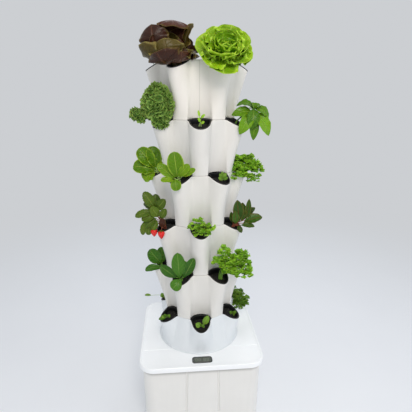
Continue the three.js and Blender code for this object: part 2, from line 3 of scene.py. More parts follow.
import bpy
import numpy as np
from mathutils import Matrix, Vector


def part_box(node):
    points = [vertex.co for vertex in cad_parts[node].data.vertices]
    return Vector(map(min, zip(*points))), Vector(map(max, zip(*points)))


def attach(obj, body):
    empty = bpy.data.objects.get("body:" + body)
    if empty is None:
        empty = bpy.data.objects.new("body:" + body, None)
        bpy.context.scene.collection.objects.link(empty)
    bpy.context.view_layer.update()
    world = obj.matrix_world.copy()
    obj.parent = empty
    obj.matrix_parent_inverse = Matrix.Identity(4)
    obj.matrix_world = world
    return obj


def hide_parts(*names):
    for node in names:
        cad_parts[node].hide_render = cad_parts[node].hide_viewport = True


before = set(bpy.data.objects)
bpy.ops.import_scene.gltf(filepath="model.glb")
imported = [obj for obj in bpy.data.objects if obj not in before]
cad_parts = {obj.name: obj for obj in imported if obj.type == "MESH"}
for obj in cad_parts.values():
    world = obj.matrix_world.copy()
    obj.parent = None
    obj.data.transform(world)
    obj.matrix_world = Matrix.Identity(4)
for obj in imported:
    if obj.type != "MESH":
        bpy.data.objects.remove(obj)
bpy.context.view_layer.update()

# Vertical planter tower: lobed white tiers of planting pockets on a lidded water tank with a display.
# Metres, +Z up, front towards -Y, the origin at the centre of the tank's foot.

MM = 0.001

# Stack and pockets
TIERS = 6
POCKETS = 6
TIP_RADIUS = 170 * MM
CORNER_RADIUS = 127 * MM
POCKET_WIDTH = 76 * MM
RIM_DIP = 26 * MM
VALLEY_RADIUS = 96 * MM
VALLEY_ARCH = 5 * MM
LOBE_STEPS = 14
TIER_WALL = 3 * MM
DECK = 3 * MM
DECK_HOLE = 62 * MM
FLARE_POWER = 1.15
SEAT_GAP = 0.3 * MM
FOOT_RADIUS = 153 * MM
FLANGE_WIDTH = 4 * MM
FLANGE_HEIGHT = 3 * MM
SPIGOT_RADIUS = 58.8 * MM
SPIGOT_WALL = 8 * MM
SPIGOT_DEPTH = 14 * MM
TONGUE_WIDTH = 34 * MM
TONGUE_DEPTH = 10 * MM
TONGUE_THICKNESS = 3 * MM
TONGUE_INSET = 5.5 * MM
EDGE_ROUND = 1.2 * MM
# From the tower's axis to the line between a pocket's two corners
CHORD = math.sqrt(CORNER_RADIUS**2 - (POCKET_WIDTH / 2) ** 2)

# Cups
CUP_DEPTH = 62 * MM
CUP_TILT = math.radians(18)
CUP_SIDE_GAP = 4.3 * MM
CUP_END_GAP = 3.4 * MM
CUP_BACK_GAP = 3 * MM
CUP_WALL = 2 * MM
CUP_TAPER = 0.8
CUP_LIP_REACH = 4.2 * MM
CUP_LIP_RISE = 2.6 * MM
CUP_RIB_HEIGHT = 0.5 * MM
CUP_RIBS = 22
CUP_FLOOR = 20 * MM
MEDIUM_DROP = 15 * MM
MEDIUM_FOOT = 19 * MM
MEDIUM_FOOT_SHIFT = 6 * MM
MEDIUM_CROWN = 2.5 * MM
MEDIUM_LUMP = 0.8 * MM
PLANT_RADIUS = 140 * MM

# Tank, lid and display
TANK_TOP_SIDE = 426 * MM
TANK_FOOT_SIDE = 418 * MM
TANK_CORNER = 44 * MM
TANK_WALL = 6 * MM
TANK_RIM_WIDTH = 6.5 * MM
TANK_RIM_HEIGHT = 8 * MM
GROOVE_WIDTH = 9 * MM
GROOVE_DEPTH = 4.5 * MM
GROOVE_TOP_SPACING = 109 * MM
GROOVE_FOOT_SPACING = 126 * MM
LID_CORNER = 56 * MM
LID_SKIRT = 19 * MM
LID_PLATE = 5 * MM
LID_WALL = 5 * MM
LID_LIP_WIDTH = 9 * MM
LID_LIP_HEIGHT = 2 * MM
LID_HOLE = 60 * MM
LID_SEAM_Y = -118 * MM
LID_SEAM_WIDTH = 2.4 * MM
LID_SEAM_DEPTH = 1.1 * MM
LID_SEAM_END = 3 * MM
FILL_HOLE = 17 * MM
DISPLAY_CORNER = 10 * MM
DISPLAY_BORDER = 4.5 * MM
DISPLAY_ROUND = 1.2 * MM
DISPLAY_CLEAR = 0.4 * MM
DISPLAY_SINK = 0.3 * MM
WINDOW_GAP = 0.3 * MM
WINDOW_ROUND = 0.4 * MM
DIGIT_WIDTH = 7.5 * MM
DIGIT_HEIGHT = 13 * MM
DIGIT_LINE = 1.5 * MM
DIGIT_PLACES = (-20 * MM, -9 * MM, 9 * MM, 20 * MM)

# Fittings; a turned profile's points are (radius, height) in millimetres
PIPE_BORE = 7.5 * MM
COUPLING_BORE = 10.4 * MM
PIPE_EDGE = 0.8 * MM
CABLE_HOLE = 8 * MM
CUTTER_REACH = 20 * MM
CUTTER_RISE = 10 * MM
PLUG_CORE = 0.5 * MM
PLUG_HEIGHT = 5 * MM
PLUG_SHOULDER = 16.6 * MM
PLUG_STEM = ((15, 0), (16.4, 1.4))
PLUG_EDGE = ((-0.6, 0), (0, 0.6), (0, 2.5), (-0.7, 4), (-2.4, 5))
PLUG_GRIP = (34 * MM, 7 * MM, 3.4 * MM)
PLUG_GRIP_FOOT = 4.5 * MM
PLUG_GRIP_ROUND = 1.8 * MM
SLEEVE_HALF = ((7.6, 3.4), (12, 3.4), (12, 5.3), (11.4, 5.9), (4, 5.9))
SPRAY_SOCKET = ((0.4, 15.3), (10.4, 15.3), (10.4, 0), (14, 0))
SPRAY_DOME = (
    (14, -14), (40, -16), (42, -15.4), (42, -13.8), (38, -11.6), (24, -6), (14, -1), (11, 0), (0.4, 0),
)

# Stage: lights are (name, place, aim, size, power, colour)
BACKDROP = "#eff2f6"
BACKDROP_GLOW = 0.7
FLOOR_REACH = 40.0
FLOOR_FADE = (0.6, 3.2)
LIGHTS = (
    ("key", (0.1, -2.25, 2.6), (0, 0, 0.9), 1.1, 36, "#fff6ec"),
    ("fill", (2.2, -1.2, 1.5), (0, 0, 0.8), 1.8, 8, "#f4f6ff"),
    ("back", (0.5, 2.4, 2.4), (0, 0, 1.0), 1.8, 12, "#f4f8ff"),
)
LENS = 32.2
SENSOR = 36.0
CAMERA_PLACE = (-0.0816, -1.3044, 1.2014)
CAMERA_TILT = math.radians(74.0)
CAMERA_TURN = math.radians(-4.87)


def hex_colour(text):
    """A colour written as sRGB hex, as linear red, green, blue and alpha."""
    srgb = np.array([int(text[i : i + 2], 16) for i in (1, 3, 5)]) / 255
    linear = np.where(srgb <= 0.04045, srgb / 12.92, ((srgb + 0.055) / 1.055) ** 2.4)
    return (*linear.tolist(), 1.0)


# Curves and skins

RNG = np.random.default_rng(1204)


def polar(radius, bearing, height):
    """Points at a radius and a bearing from the front, turning towards +X."""
    radius, bearing, height = np.broadcast_arrays(radius, bearing, height)
    return np.stack([radius * np.sin(bearing), -radius * np.cos(bearing), height], -1)


def pocket_points(outward, sideways, bearing, height):
    """Points given outwards along a pocket's bearing and sideways from it."""
    x = outward * np.sin(bearing) + sideways * np.cos(bearing)
    y = -outward * np.cos(bearing) + sideways * np.sin(bearing)
    x, y, height = np.broadcast_arrays(x, y, height)
    return np.stack([x, y, height], -1)


def skin(rings, joined=False):
    """Faces between neighbouring rings of an array (rings, points, 3). The first and last ring are closed by
    fans to their middles, or the last ring is joined to the first. Returns vertices and blocks of faces."""
    count, around = rings.shape[:2]
    index = np.arange(count * around).reshape(count, around)
    low = index if joined else index[:-1]
    high = np.roll(index, -1, 0) if joined else index[1:]
    quads = np.stack([low, np.roll(low, -1, 1), np.roll(high, -1, 1), high], -1).reshape(-1, 4)
    vertices = rings.reshape(-1, 3)
    if joined:
        return vertices, [quads]
    middles = np.stack([rings[0].mean(0), rings[-1].mean(0)])
    foot, top = index[0], index[-1]
    size = count * around
    fans = np.concatenate([
        np.stack([np.roll(foot, -1), foot, np.full(around, size)], -1),
        np.stack([top, np.roll(top, -1), np.full(around, size + 1)], -1),
    ])
    return np.concatenate([vertices, middles]), [quads, fans]


def outward(vertices, blocks):
    """The same blocks of faces, turned round if the closed body's volume comes out negative."""
    volume = 0
    for block in blocks:
        a, b = vertices[block[:, 0]], vertices[block[:, 1]]
        for k in range(2, block.shape[1]):
            c = vertices[block[:, k]]
            volume += np.einsum("ij,ij->", a, np.cross(b, c))
            b = c
    return blocks if volume > 0 else [block[:, ::-1] for block in blocks]


def gather(parts):
    """Joins closed bodies into one set of arrays. A part is (vertices, blocks, uv per vertex, tone, slot)."""
    vertices, blocks, uvs, tones, slots = [], {3: [], 4: []}, [], [], {3: [], 4: []}
    start = 0
    for points, faces, uv, tone, slot in parts:
        for block in outward(points, faces):
            blocks[block.shape[1]].append(block + start)
            slots[block.shape[1]].append(np.full(len(block), slot))
        vertices.append(points)
        uvs.append(np.zeros((len(points), 2)) if uv is None else uv)
        tones.append(np.full(len(points), float(tone)))
        start += len(points)
    faces = [np.concatenate(blocks[k]) for k in (3, 4) if blocks[k]]
    face_slots = np.concatenate([np.concatenate(slots[k]) for k in (3, 4) if slots[k]])
    return np.concatenate(vertices), faces, np.concatenate(uvs), np.concatenate(tones), face_slots


def make_piece(name, parts, materials, body, node=None, crease=35):
    """Puts closed bodies into one mesh object with smooth faces and sharp creases, which rides on a body."""
    points, blocks, uv, tone, face_slots = gather(parts)
    totals = np.concatenate([np.full(len(block), block.shape[1]) for block in blocks])
    loops = np.concatenate([block.ravel() for block in blocks])
    mesh = bpy.data.meshes.new(name)
    mesh.vertices.add(len(points))
    mesh.vertices.foreach_set("co", points.astype(np.float32).ravel())
    mesh.loops.add(len(loops))
    mesh.loops.foreach_set("vertex_index", loops.astype(np.int32))
    mesh.polygons.add(len(totals))
    mesh.polygons.foreach_set("loop_start", np.concatenate([[0], np.cumsum(totals)[:-1]]).astype(np.int32))
    mesh.polygons.foreach_set("material_index", face_slots.astype(np.int32))
    mesh.update(calc_edges=True)
    mesh.uv_layers.new(name="UVMap").data.foreach_set("uv", uv[loops].astype(np.float32).ravel())
    mesh.attributes.new("tone", "FLOAT", "POINT").data.foreach_set("value", tone.astype(np.float32))
    mesh.validate()
    mesh.shade_smooth()
    mesh.set_sharp_from_angle(angle=math.radians(crease))
    for material in materials:
        mesh.materials.append(material)
    piece = bpy.data.objects.new(name, mesh)
    bpy.context.scene.collection.objects.link(piece)
    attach(piece, body)
    if node:
        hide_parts(node)
    return piece


def solid(rings, joined=False):
    """A closed body from rings, with no pattern coordinates of its own."""
    points, faces = skin(rings, joined)
    return points, faces, None, 0.5, 0


def lathe(profile, steps=64, centre=(0, 0, 0), along="Z"):
    """A closed profile of (radius, height) carried round an axis."""
    radius, height = np.array(profile).T
    swing = np.linspace(0, 2 * np.pi, steps, endpoint=False)
    ring = np.stack([
        radius[:, None] * np.cos(swing),
        radius[:, None] * np.sin(swing),
        np.repeat(height[:, None], steps, 1),
    ], -1)
    if along == "Y":
        ring = ring[..., [0, 2, 1]]
    return ring + np.array(centre)


def rounded_square(side, corner, height, straight=1):
    """A square outline with quarter circles at its corners, and points that divide its straight sides
    evenly."""
    reach = side / 2 - corner
    swing = np.linspace(0, np.pi / 2, 13)
    arcs = []
    for turn in np.arange(4) * np.pi / 2:
        middle = reach * math.sqrt(2) * np.array([math.cos(turn + np.pi / 4), math.sin(turn + np.pi / 4)])
        arcs.append(middle + corner * np.stack([np.cos(swing + turn), np.sin(swing + turn)], -1))
    share = np.linspace(0, 1, straight + 1)[1:-1, None]
    points = []
    for k, arc in enumerate(arcs):
        points += [arc, arc[-1] * (1 - share) + arcs[(k + 1) % 4][0] * share]
    flat = np.concatenate(points)
    return np.column_stack([flat, np.full(len(flat), height)])


# Materials

SMOOTH = {"interpolation_type": "SMOOTHSTEP"}
COLOURS = {"data_type": "RGBA"}


def add(tree, kind, inputs=(), out=0, **settings):
    """Adds a node with its settings and gives one of its outputs, or all of them where out is None. Inputs
    come in order, or by number or name: values, hex colours, or sockets to link."""
    node = tree.nodes.new("ShaderNode" + kind)
    for key, value in settings.items():
        setattr(node, key, value)
    for key, value in inputs.items() if isinstance(inputs, dict) else enumerate(inputs):
        if isinstance(value, bpy.types.NodeSocket):
            tree.links.new(value, node.inputs[key])
        else:
            node.inputs[key].default_value = hex_colour(value) if isinstance(value, str) else value
    return node.outputs if out is None else node.outputs[out]


def start_material(name, roughness, ior, **constants):
    """A material with its shader's constant values set on the shader's own sockets, and its tree of nodes."""
    material = bpy.data.materials.new(name)
    material.use_nodes = True
    tree = material.node_tree
    for key, value in {"Roughness": roughness, "IOR": ior, **constants}.items():
        tree.nodes["Principled BSDF"].inputs[key.replace("_", " ")].default_value = value
    return material, tree


def finish_material(material, **sockets):
    """Links sockets to the shader's inputs of those names, and gives the material back."""
    tree = material.node_tree
    for key, socket in sockets.items():
        tree.links.new(socket, tree.nodes["Principled BSDF"].inputs[key.replace("_", " ")])
    return material


def moulded_white(name, light, shade, parting=False, dust_and_painted_shade=False):
    """ABS, injection moulded with a satin tool finish: an even white with a faint cloudiness, flow marks that
    run up the wall, and an orange peel that softens its reflections."""
    depth = {"Subsurface_Weight": 0.04, "Subsurface_Scale": 0.003, "Subsurface_Radius": (1, 1, 1)}
    material, tree = start_material(name, 0.36, 1.5, **depth)
    place = add(tree, "TexCoord", out="Object")
    across, forward, level = add(tree, "SeparateXYZ", [place], None)
    cloud = add(tree, "TexNoise", {"Vector": place, "Scale": 1 / (70 * MM), "Detail": 3})
    stretched = add(tree, "Mapping", {"Vector": place, "Scale": (1, 1, 0.08)})
    flow = add(tree, "TexNoise", {"Vector": stretched, "Scale": 1 / (14 * MM)})
    mottle = add(tree, "Math", [cloud, 0.6], operation="MULTIPLY")
    mottle = add(tree, "Math", [flow, 0.4, mottle], operation="MULTIPLY_ADD")
    colour = add(tree, "Mix", {0: mottle, 6: shade, 7: light}, 2, **COLOURS)
    if parting:
        # The mould's parting line down the front seat, drawn a little wider than real so that it shows
        aside = add(tree, "Math", [across], operation="ABSOLUTE")
        line = add(tree, "MapRange", [aside, 0.5 * MM, 1.3 * MM, 0.45, 0], **SMOOTH)
        front = add(tree, "Math", [forward, 0], operation="LESS_THAN")
        line = add(tree, "Math", [line, front], operation="MULTIPLY")
        colour = add(tree, "Mix", {0: line, 6: colour, 7: "#a9a59c"}, 2, **COLOURS)
    if dust_and_painted_shade:
        # Painted shade: a darker band on the wall below the lid's skirt, where the skirt's shadow falls
        painted_skirt_shade = add(tree, "MapRange", [level, 264 * MM, 282 * MM, 0, 0.55], **SMOOTH)
        colour = add(tree, "Mix", {0: painted_skirt_shade, 6: colour, 7: "#7d7a74"}, 2, **COLOURS)
    wear = add(tree, "TexNoise", {"Vector": place, "Scale": 1 / (25 * MM), "Detail": 3})
    rough = add(tree, "MapRange", [wear, 0.3, 0.7, 0.3, 0.42], **SMOOTH)
    # Orange peel of about 1 mm, drawn at 3 mm so that it shows
    peel = add(tree, "TexNoise", {"Vector": place, "Scale": 1 / (3 * MM)})
    peel = add(tree, "Math", [flow, 2.0, peel], operation="MULTIPLY_ADD")
    normal = add(tree, "Bump", {"Height": peel, "Distance": 0.05 * MM, "Strength": 0.35})
    return finish_material(material, Base_Color=colour, Roughness=rough, Normal=normal)


def black_cup_plastic():
    """Polypropylene, injection moulded with a fine spark-eroded texture: a matt black, greyer where it is
    dusty."""
    material, tree = start_material("black_polypropylene_cup", 0.5, 1.49)
    place = add(tree, "TexCoord", out="Object")
    patches = add(tree, "TexNoise", {"Vector": place, "Scale": 1 / (9 * MM), "Detail": 4})
    dust_and_painted_shade = add(tree, "MapRange", [patches, 0.45, 0.75], **SMOOTH)
    grey = add(tree, "Math", [dust_and_painted_shade, 0.5], operation="MULTIPLY")
    colour = add(tree, "Mix", {0: grey, 6: "#0f1011", 7: "#25272a"}, 2, **COLOURS)
    rough = add(tree, "MapRange", [dust_and_painted_shade, 0, 1, 0.42, 0.62], **SMOOTH)
    # The spark texture is finer than 0.1 mm and is drawn at 0.9 mm so that it shows
    grain = add(tree, "TexNoise", {"Vector": place, "Scale": 1 / (0.9 * MM)})
    normal = add(tree, "Bump", {"Height": grain, "Distance": 0.06 * MM, "Strength": 0.6})
    return finish_material(material, Base_Color=colour, Roughness=rough, Normal=normal)


def growing_medium():
    """Wet coir with grains of perlite: a nearly black crumb with a few pale specks."""
    material, tree = start_material("coir_with_perlite", 0.85, 1.45)
    place = add(tree, "TexCoord", out="Object")
    crumb = add(tree, "TexNoise", {"Vector": place, "Scale": 1 / (3 * MM), "Detail": 5, "Roughness": 0.7})
    shade = add(tree, "MapRange", [crumb, 0.35, 0.7], **SMOOTH)
    colour = add(tree, "Mix", {0: shade, 6: "#0a0a09", 7: "#211f1b"}, 2, **COLOURS)
    cells = add(tree, "TexVoronoi", {"Vector": place, "Scale": 1 / (5 * MM), "Randomness": 1.0}, None)
    grain = add(tree, "MapRange", [cells["Distance"], 0.16, 0.24, 1, 0], **SMOOTH)
    chance = add(tree, "SeparateColor", [cells["Color"]])
    chosen = add(tree, "Math", [chance, 0.84], operation="GREATER_THAN")
    speck = add(tree, "Math", [grain, chosen], operation="MULTIPLY")
    colour = add(tree, "Mix", {0: speck, 6: colour, 7: "#77736a"}, 2, **COLOURS)
    normal = add(tree, "Bump", {"Height": crumb, "Distance": 1.2 * MM, "Strength": 0.9})
    return finish_material(material, Base_Color=colour, Normal=normal)


def display_plastic(name, dark, light, roughness):
    """Polished acrylic over a display: dark and glossy, with a soft haze of fine wipe marks."""
    material, tree = start_material(name, roughness, 1.49, Coat_Weight=0.4, Coat_Roughness=0.08)
    place = add(tree, "TexCoord", out="Object")
    haze = add(tree, "TexNoise", {"Vector": place, "Scale": 1 / (12 * MM), "Detail": 4})
    colour = add(tree, "Mix", {0: haze, 6: dark, 7: light}, 2, **COLOURS)
    rough = add(tree, "MapRange", [haze, 0.3, 0.7, roughness, roughness + 0.12], **SMOOTH)
    return finish_material(material, Base_Color=colour, Roughness=rough)


def moulded_plain(name, dark, light, roughness, grain):
    """A plain moulded or extruded plastic or rubber: an even colour with faint clouds and a fine grain."""
    material, tree = start_material(name, roughness, 1.5)
    place = add(tree, "TexCoord", out="Object")
    cloud = add(tree, "TexNoise", {"Vector": place, "Scale": 1 / (20 * MM), "Detail": 3})
    colour = add(tree, "Mix", {0: cloud, 6: dark, 7: light}, 2, **COLOURS)
    rough = add(tree, "MapRange", [cloud, 0.3, 0.7, roughness - 0.06, roughness + 0.06], **SMOOTH)
    # A real mould or die leaves a grain well under 1 mm, drawn coarser so that it shows
    speckle = add(tree, "TexNoise", {"Vector": place, "Scale": 1 / grain})
    normal = add(tree, "Bump", {"Height": speckle, "Distance": 0.05 * MM, "Strength": 0.4})
    return finish_material(material, Base_Color=colour, Roughness=rough, Normal=normal)


def leaf_material(name, dark, light, vein, rim, veins=7, pucker=0.6, gloss=0.42, rim_share=0.0):
    """A living leaf: waxy skin over green tissue, pale midrib and side veins, tissue raised between the
    veins, a tint that changes from leaf to leaf and towards the rim, and light that passes through a
    little."""
    waxy = {"Subsurface_Weight": 0.08, "Subsurface_Scale": 0.002, "Specular_IOR_Level": 0.32}
    material, tree = start_material(name, gloss, 1.42, **waxy)
    place = add(tree, "TexCoord", out="Object")
    along, across, _ = add(tree, "SeparateXYZ", [add(tree, "TexCoord", out="UV")], None)
    tone = add(tree, "Attribute", out="Fac", attribute_name="tone")
    offset = add(tree, "Math", [across, 0.5], operation="SUBTRACT")
    aside = add(tree, "Math", [offset], operation="ABSOLUTE")
    wander = add(tree, "TexNoise", {"Vector": place, "Scale": 1 / (12 * MM)})
    # Side veins: stripes across the leaf that sweep forward away from the midrib and wander a little
    swept = add(tree, "Math", [aside, -0.55, along], operation="MULTIPLY_ADD")
    wave = add(tree, "Math", [wander, 0.06, swept], operation="MULTIPLY_ADD")
    wave = add(tree, "Math", [wave, veins], operation="MULTIPLY")
    stripe = add(tree, "Math", [wave], operation="FRACT")
    stripe = add(tree, "Math", [stripe, 0.5], operation="SUBTRACT")
    stripe = add(tree, "Math", [stripe], operation="ABSOLUTE")
    side_vein = add(tree, "MapRange", [stripe, 0.0, 0.11, 0.45, 0], **SMOOTH)
    midrib = add(tree, "MapRange", [aside, 0.012, 0.045, 1, 0], **SMOOTH)
    lines = add(tree, "Math", [midrib, side_vein], operation="MAXIMUM")
    mottle = add(tree, "TexNoise", {"Vector": place, "Scale": 1 / (14 * MM), "Detail": 3})
    patches = add(tree, "Math", [tone, 0.7], operation="MULTIPLY")
    patches = add(tree, "Math", [mottle, 0.4, patches], operation="MULTIPLY_ADD")
    colour = add(tree, "Mix", {0: patches, 6: dark, 7: light}, 2, **COLOURS)
    if rim_share:
        ragged = add(tree, "Math", [wander, 0.1, aside], operation="MULTIPLY_ADD")
        edge = add(tree, "MapRange", [ragged, 0.5 - rim_share, 0.52], **SMOOTH)
        tip = add(tree, "MapRange", [along, 1 - rim_share, 1.0], **SMOOTH)
        border = add(tree, "Math", [edge, tip], operation="MAXIMUM")
        colour = add(tree, "Mix", {0: border, 6: colour, 7: rim}, 2, **COLOURS)
    drawn = add(tree, "Math", [lines, 0.6], operation="MULTIPLY")
    colour = add(tree, "Mix", {0: drawn, 6: colour, 7: vein}, 2, **COLOURS)
    cells = add(tree, "TexNoise", {"Vector": place, "Scale": 1 / (4 * MM), "Detail": 3})
    raised = add(tree, "Math", [cells, 0.5], operation="MULTIPLY")
    raised = add(tree, "Math", [raised, lines], operation="SUBTRACT")
    normal = add(tree, "Bump", {"Height": raised, "Distance": pucker * MM, "Strength": 0.8})
    return finish_material(material, Base_Color=colour, Normal=normal)


def stem_material(name, dark, light):
    """A fleshy stem: smooth, a little see-through, with streaks along its length."""
    material, tree = start_material(name, 0.4, 1.42, Subsurface_Weight=0.15, Subsurface_Scale=0.002)
    around = add(tree, "Mapping", {"Vector": add(tree, "TexCoord", out="UV"), "Scale": (0.4, 9.0, 1.0)})
    streaks = add(tree, "TexNoise", {"Vector": around, "Scale": 2})
    colour = add(tree, "Mix", {0: streaks, 6: dark, 7: light}, 2, **COLOURS)
    normal = add(tree, "Bump", {"Height": streaks, "Distance": 0.3 * MM, "Strength": 0.4})
    return finish_material(material, Base_Color=colour, Normal=normal)


def berry_material():
    """A ripe strawberry: wet gloss, red flesh with yellow seeds in small pits."""
    flesh = {"Subsurface_Weight": 0.2, "Subsurface_Scale": 0.003}
    material, tree = start_material("ripe_strawberry_skin", 0.25, 1.42, **flesh)
    place = add(tree, "TexCoord", out="Object")
    cells = add(tree, "TexVoronoi", {"Vector": place, "Scale": 1 / (3.2 * MM), "Randomness": 0.5})
    seed = add(tree, "MapRange", [cells, 0.1, 0.2, 0.7, 0], **SMOOTH)
    blush = add(tree, "TexNoise", {"Vector": place, "Scale": 1 / (8 * MM)})
    colour = add(tree, "Mix", {0: blush, 6: "#c8141a", 7: "#ee2e2a"}, 2, **COLOURS)
    colour = add(tree, "Mix", {0: seed, 6: colour, 7: "#e8b04a"}, 2, **COLOURS)
    pits = add(tree, "MapRange", [cells, 0.1, 0.45], **SMOOTH)
    normal = add(tree, "Bump", {"Height": pits, "Distance": 0.6 * MM, "Strength": 0.8})
    return finish_material(material, Base_Color=colour, Normal=normal)


# Painted light: the whites are one ABS in different tints. The lid is brighter and bluer as a top surface lit
# from above, the top tier brighter and warmer, the base tier bluer as the cooler part low down
WHITE_TIER = moulded_white("satin_white_abs_tier", "#e8e7e3", "#dddbd6")
WHITE_TOP = moulded_white("satin_white_abs_top_tier", "#f1eee8", "#e8e4dd", parting=True)
WHITE_BASE = moulded_white("satin_white_abs_base_tier", "#e5eaee", "#dbe1e5")
WHITE_LID = moulded_white("white_abs_lid_painted_brighter", "#fbfdff", "#f5f9fc")
# The tank's darker band below the lid's skirt is painted shade
WHITE_TANK = moulded_white("satin_white_abs_tank", "#ecece9", "#e2e1de", dust_and_painted_shade=True)
CUP_BLACK = black_cup_plastic()
COIR = growing_medium()
DISPLAY_FRAME = display_plastic("polished_black_acrylic_frame", "#1d201f", "#2c302e", 0.18)
DISPLAY_GLASS = display_plastic("smoked_acrylic_display_window", "#42473d", "#50564a", 0.14)
DISPLAY_MARK = display_plastic("display_segments", "#70766a", "#7b8174", 0.2)
BLACK_PLASTIC = moulded_plain("black_glass_filled_nylon_pump", "#17191b", "#232629", 0.5, 1.2 * MM)
PIPE_PLASTIC = moulded_plain("pale_extruded_pvc_pipe", "#cfd2d3", "#dcdfe0", 0.42, 2 * MM)
GROMMET_RUBBER = moulded_plain("black_epdm_rubber", "#151515", "#202020", 0.82, 0.8 * MM)
PALE_STEM = stem_material("pale_green_stem", "#86ab4a", "#c2d893")
GREEN_STEM = stem_material("green_stem", "#4f7f2a", "#84b04a")
RED_STEM = stem_material("red_stem", "#7a2f24", "#a4644a")
BERRY = berry_material()

# Leaves: dark and light tissue, veins, rim, number of side veins, pucker in mm, roughness, rim's share
LEAF = {
    name: leaf_material(name, *look)
    for name, look in {
        "red_lettuce_leaf": ("#26130a", "#593324", "#5e3b29", "#5c4a22", 6, 1.8, 0.32, 0.05),
        "olive_lettuce_leaf": ("#2c220b", "#564a1a", "#5e5020", "#837740", 6, 1.8, 0.34, 0.07),
        "lime_lettuce_leaf": ("#64920a", "#9ac418", "#bfd85c", "#b4da3c", 8, 1.4, 0.38, 0.12),
        "lime_lettuce_heart": ("#447a08", "#78a810", "#9cc23c", "#a4cc30", 8, 1.4, 0.38, 0.12),
        "curly_kale_leaf": ("#163809", "#4a741e", "#82a24c", "#8aac52", 5, 0.8, 0.46, 0.22),
        "basil_leaf": ("#2e5c06", "#76a61a", "#96b84a", "#74a226", 6, 2.2, 0.26),
        "bright_chard_leaf": ("#3a6a02", "#84ac14", "#a8c44e", "#8cae2c", 7, 2.8, 0.32, 0.06),
        "strawberry_leaf": ("#264209", "#60781e", "#8ea04a", "#55761e", 9, 1.8, 0.38),
        "sorrel_leaf": ("#1b3c0c", "#42691c", "#7a452c", "#565a20", 8, 1.4, 0.34, 0.14),
        "spinach_leaf": ("#1f4e0d", "#528922", "#84a850", "#548a2a", 6, 2.0, 0.26),
        "young_leaf": ("#34600e", "#78a034", "#98ba58", "#82a83e", 5, 0.5, 0.45),
        "coriander_leaf": ("#549610", "#a6d43a", "#b8da6a", "#a4d04e", 5, 0.5, 0.45),
    }.items()
}


# Tiers


def plan_curves(turn, inset):
    """The plans of a tier's rim and foot, point for point. The rim has half ellipses over the pockets and
    arcs over the seats between them; the foot has arcs under the pockets and half ellipses bent inwards
    between them. A short weighted average round each curve rounds its corners."""
    half = POCKET_WIDTH / 2 - inset
    corner_angle = math.asin(POCKET_WIDTH / 2 / CORNER_RADIUS)
    sector = 2 * np.pi / POCKETS
    share = np.arange(-LOBE_STEPS, LOBE_STEPS + 1) / LOBE_STEPS
    along = np.arange(1, 2 * LOBE_STEPS) / (2 * LOBE_STEPS)
    rim, foot = [], []
    for k in range(POCKETS):
        bearing = turn + k * sector
        swing = np.pi / 2 * (1 - np.abs(share))
        reach = CHORD + (TIP_RADIUS - CHORD - inset) * np.sin(swing)
        sideways = np.sign(share) * half * np.cos(swing)
        rim.append(pocket_points(reach, sideways, bearing, -RIM_DIP * np.sin(swing)))
        seat = bearing + corner_angle + along * (sector - 2 * corner_angle)
        rim.append(polar(CORNER_RADIUS - inset, seat, 0.0))
        foot.append(polar(CORNER_RADIUS - inset, bearing + share * (sector / 2 - corner_angle), 0.0))
        swing = np.pi * along
        reach = CHORD - (CHORD - VALLEY_RADIUS + inset) * np.sin(swing)
        sideways = -(POCKET_WIDTH / 2 + inset) * np.cos(swing)
        foot.append(pocket_points(reach, sideways, bearing + sector / 2, VALLEY_ARCH * np.sin(swing)))
    curves = []
    for curve in (rim, foot):
        ring = np.concatenate(curve)
        for _ in range(2):
            ring = sum(weight * np.roll(ring, k - 2, 0) for k, weight in enumerate((1, 4, 6, 4, 1))) / 16
        curves.append(ring)
    return curves


def round_curve(radius, like, height):
    """A round ring whose points lie on the bearings of another ring."""
    return polar(radius, np.arctan2(like[:, 0], -like[:, 1]), height)


def flare(foot, rim, foot_height, rim_height, share, power):
    """A ring between foot and rim: its plan moves with a power of the height share, its height evenly."""
    plan = foot[:, :2] + (rim[:, :2] - foot[:, :2]) * share**power
    low, high = foot_height + foot[:, 2], rim_height + rim[:, 2]
    return np.column_stack([plan, low + (high - low) * share])


def wall_rings(turn, foot_height, rim_height, base):
    """Rings up the outside of a tier's wall, over its rounded rim and down the inside to the deck."""
    outer_rim, outer_foot = plan_curves(turn, 0)
    inner_rim, inner_foot = plan_curves(turn, TIER_WALL)
    power = 1.0 if base else FLARE_POWER
    if base:
        outer_foot = round_curve(FOOT_RADIUS, outer_rim, 0.0)
        inner_foot = round_curve(FOOT_RADIUS - TIER_WALL, outer_rim, 0.0)
    height = rim_height - foot_height
    rings = []
    for share in np.linspace(EDGE_ROUND / height, 1 - EDGE_ROUND / height, 22):
        rings.append(flare(outer_foot, outer_rim, foot_height, rim_height, share, power))
    for across, drop in ((0.15, 0.35), (0.5, 0.0), (0.85, 0.35)):
        ring = outer_rim + (inner_rim - outer_rim) * across
        rings.append(ring + np.array([0, 0, rim_height - drop * EDGE_ROUND]))
    for share in np.linspace(1 - EDGE_ROUND / height, DECK / height, 12):
        rings.append(flare(inner_foot, inner_rim, foot_height, rim_height, share, power))
    return rings, outer_foot, outer_rim


def upper_tier(ring):
    """One upper tier: wall, deck with a hole for the riser, and three tongues."""
    turn = np.pi / POCKETS if ring % 2 else 0.0
    foot_height = RIM[ring + 1] + SEAT_GAP
    rings, outer_foot, outer_rim = wall_rings(turn, foot_height, RIM[ring], False)
    deck_top = foot_height + DECK
    rings.append(round_curve(DECK_HOLE + EDGE_ROUND, outer_rim, deck_top))
    rings.append(round_curve(DECK_HOLE, outer_rim, deck_top - EDGE_ROUND))
    rings.append(round_curve(DECK_HOLE, outer_rim, foot_height))
    drawn_in = [0.985, 0.985, 1]
    rings.append(outer_foot * drawn_in + [0, 0, foot_height])
    parts = [solid(np.stack(rings), True)]
    for k in range(3):
        parts.append(tongue(turn + k * 2 * np.pi / 3, foot_height))
    return parts


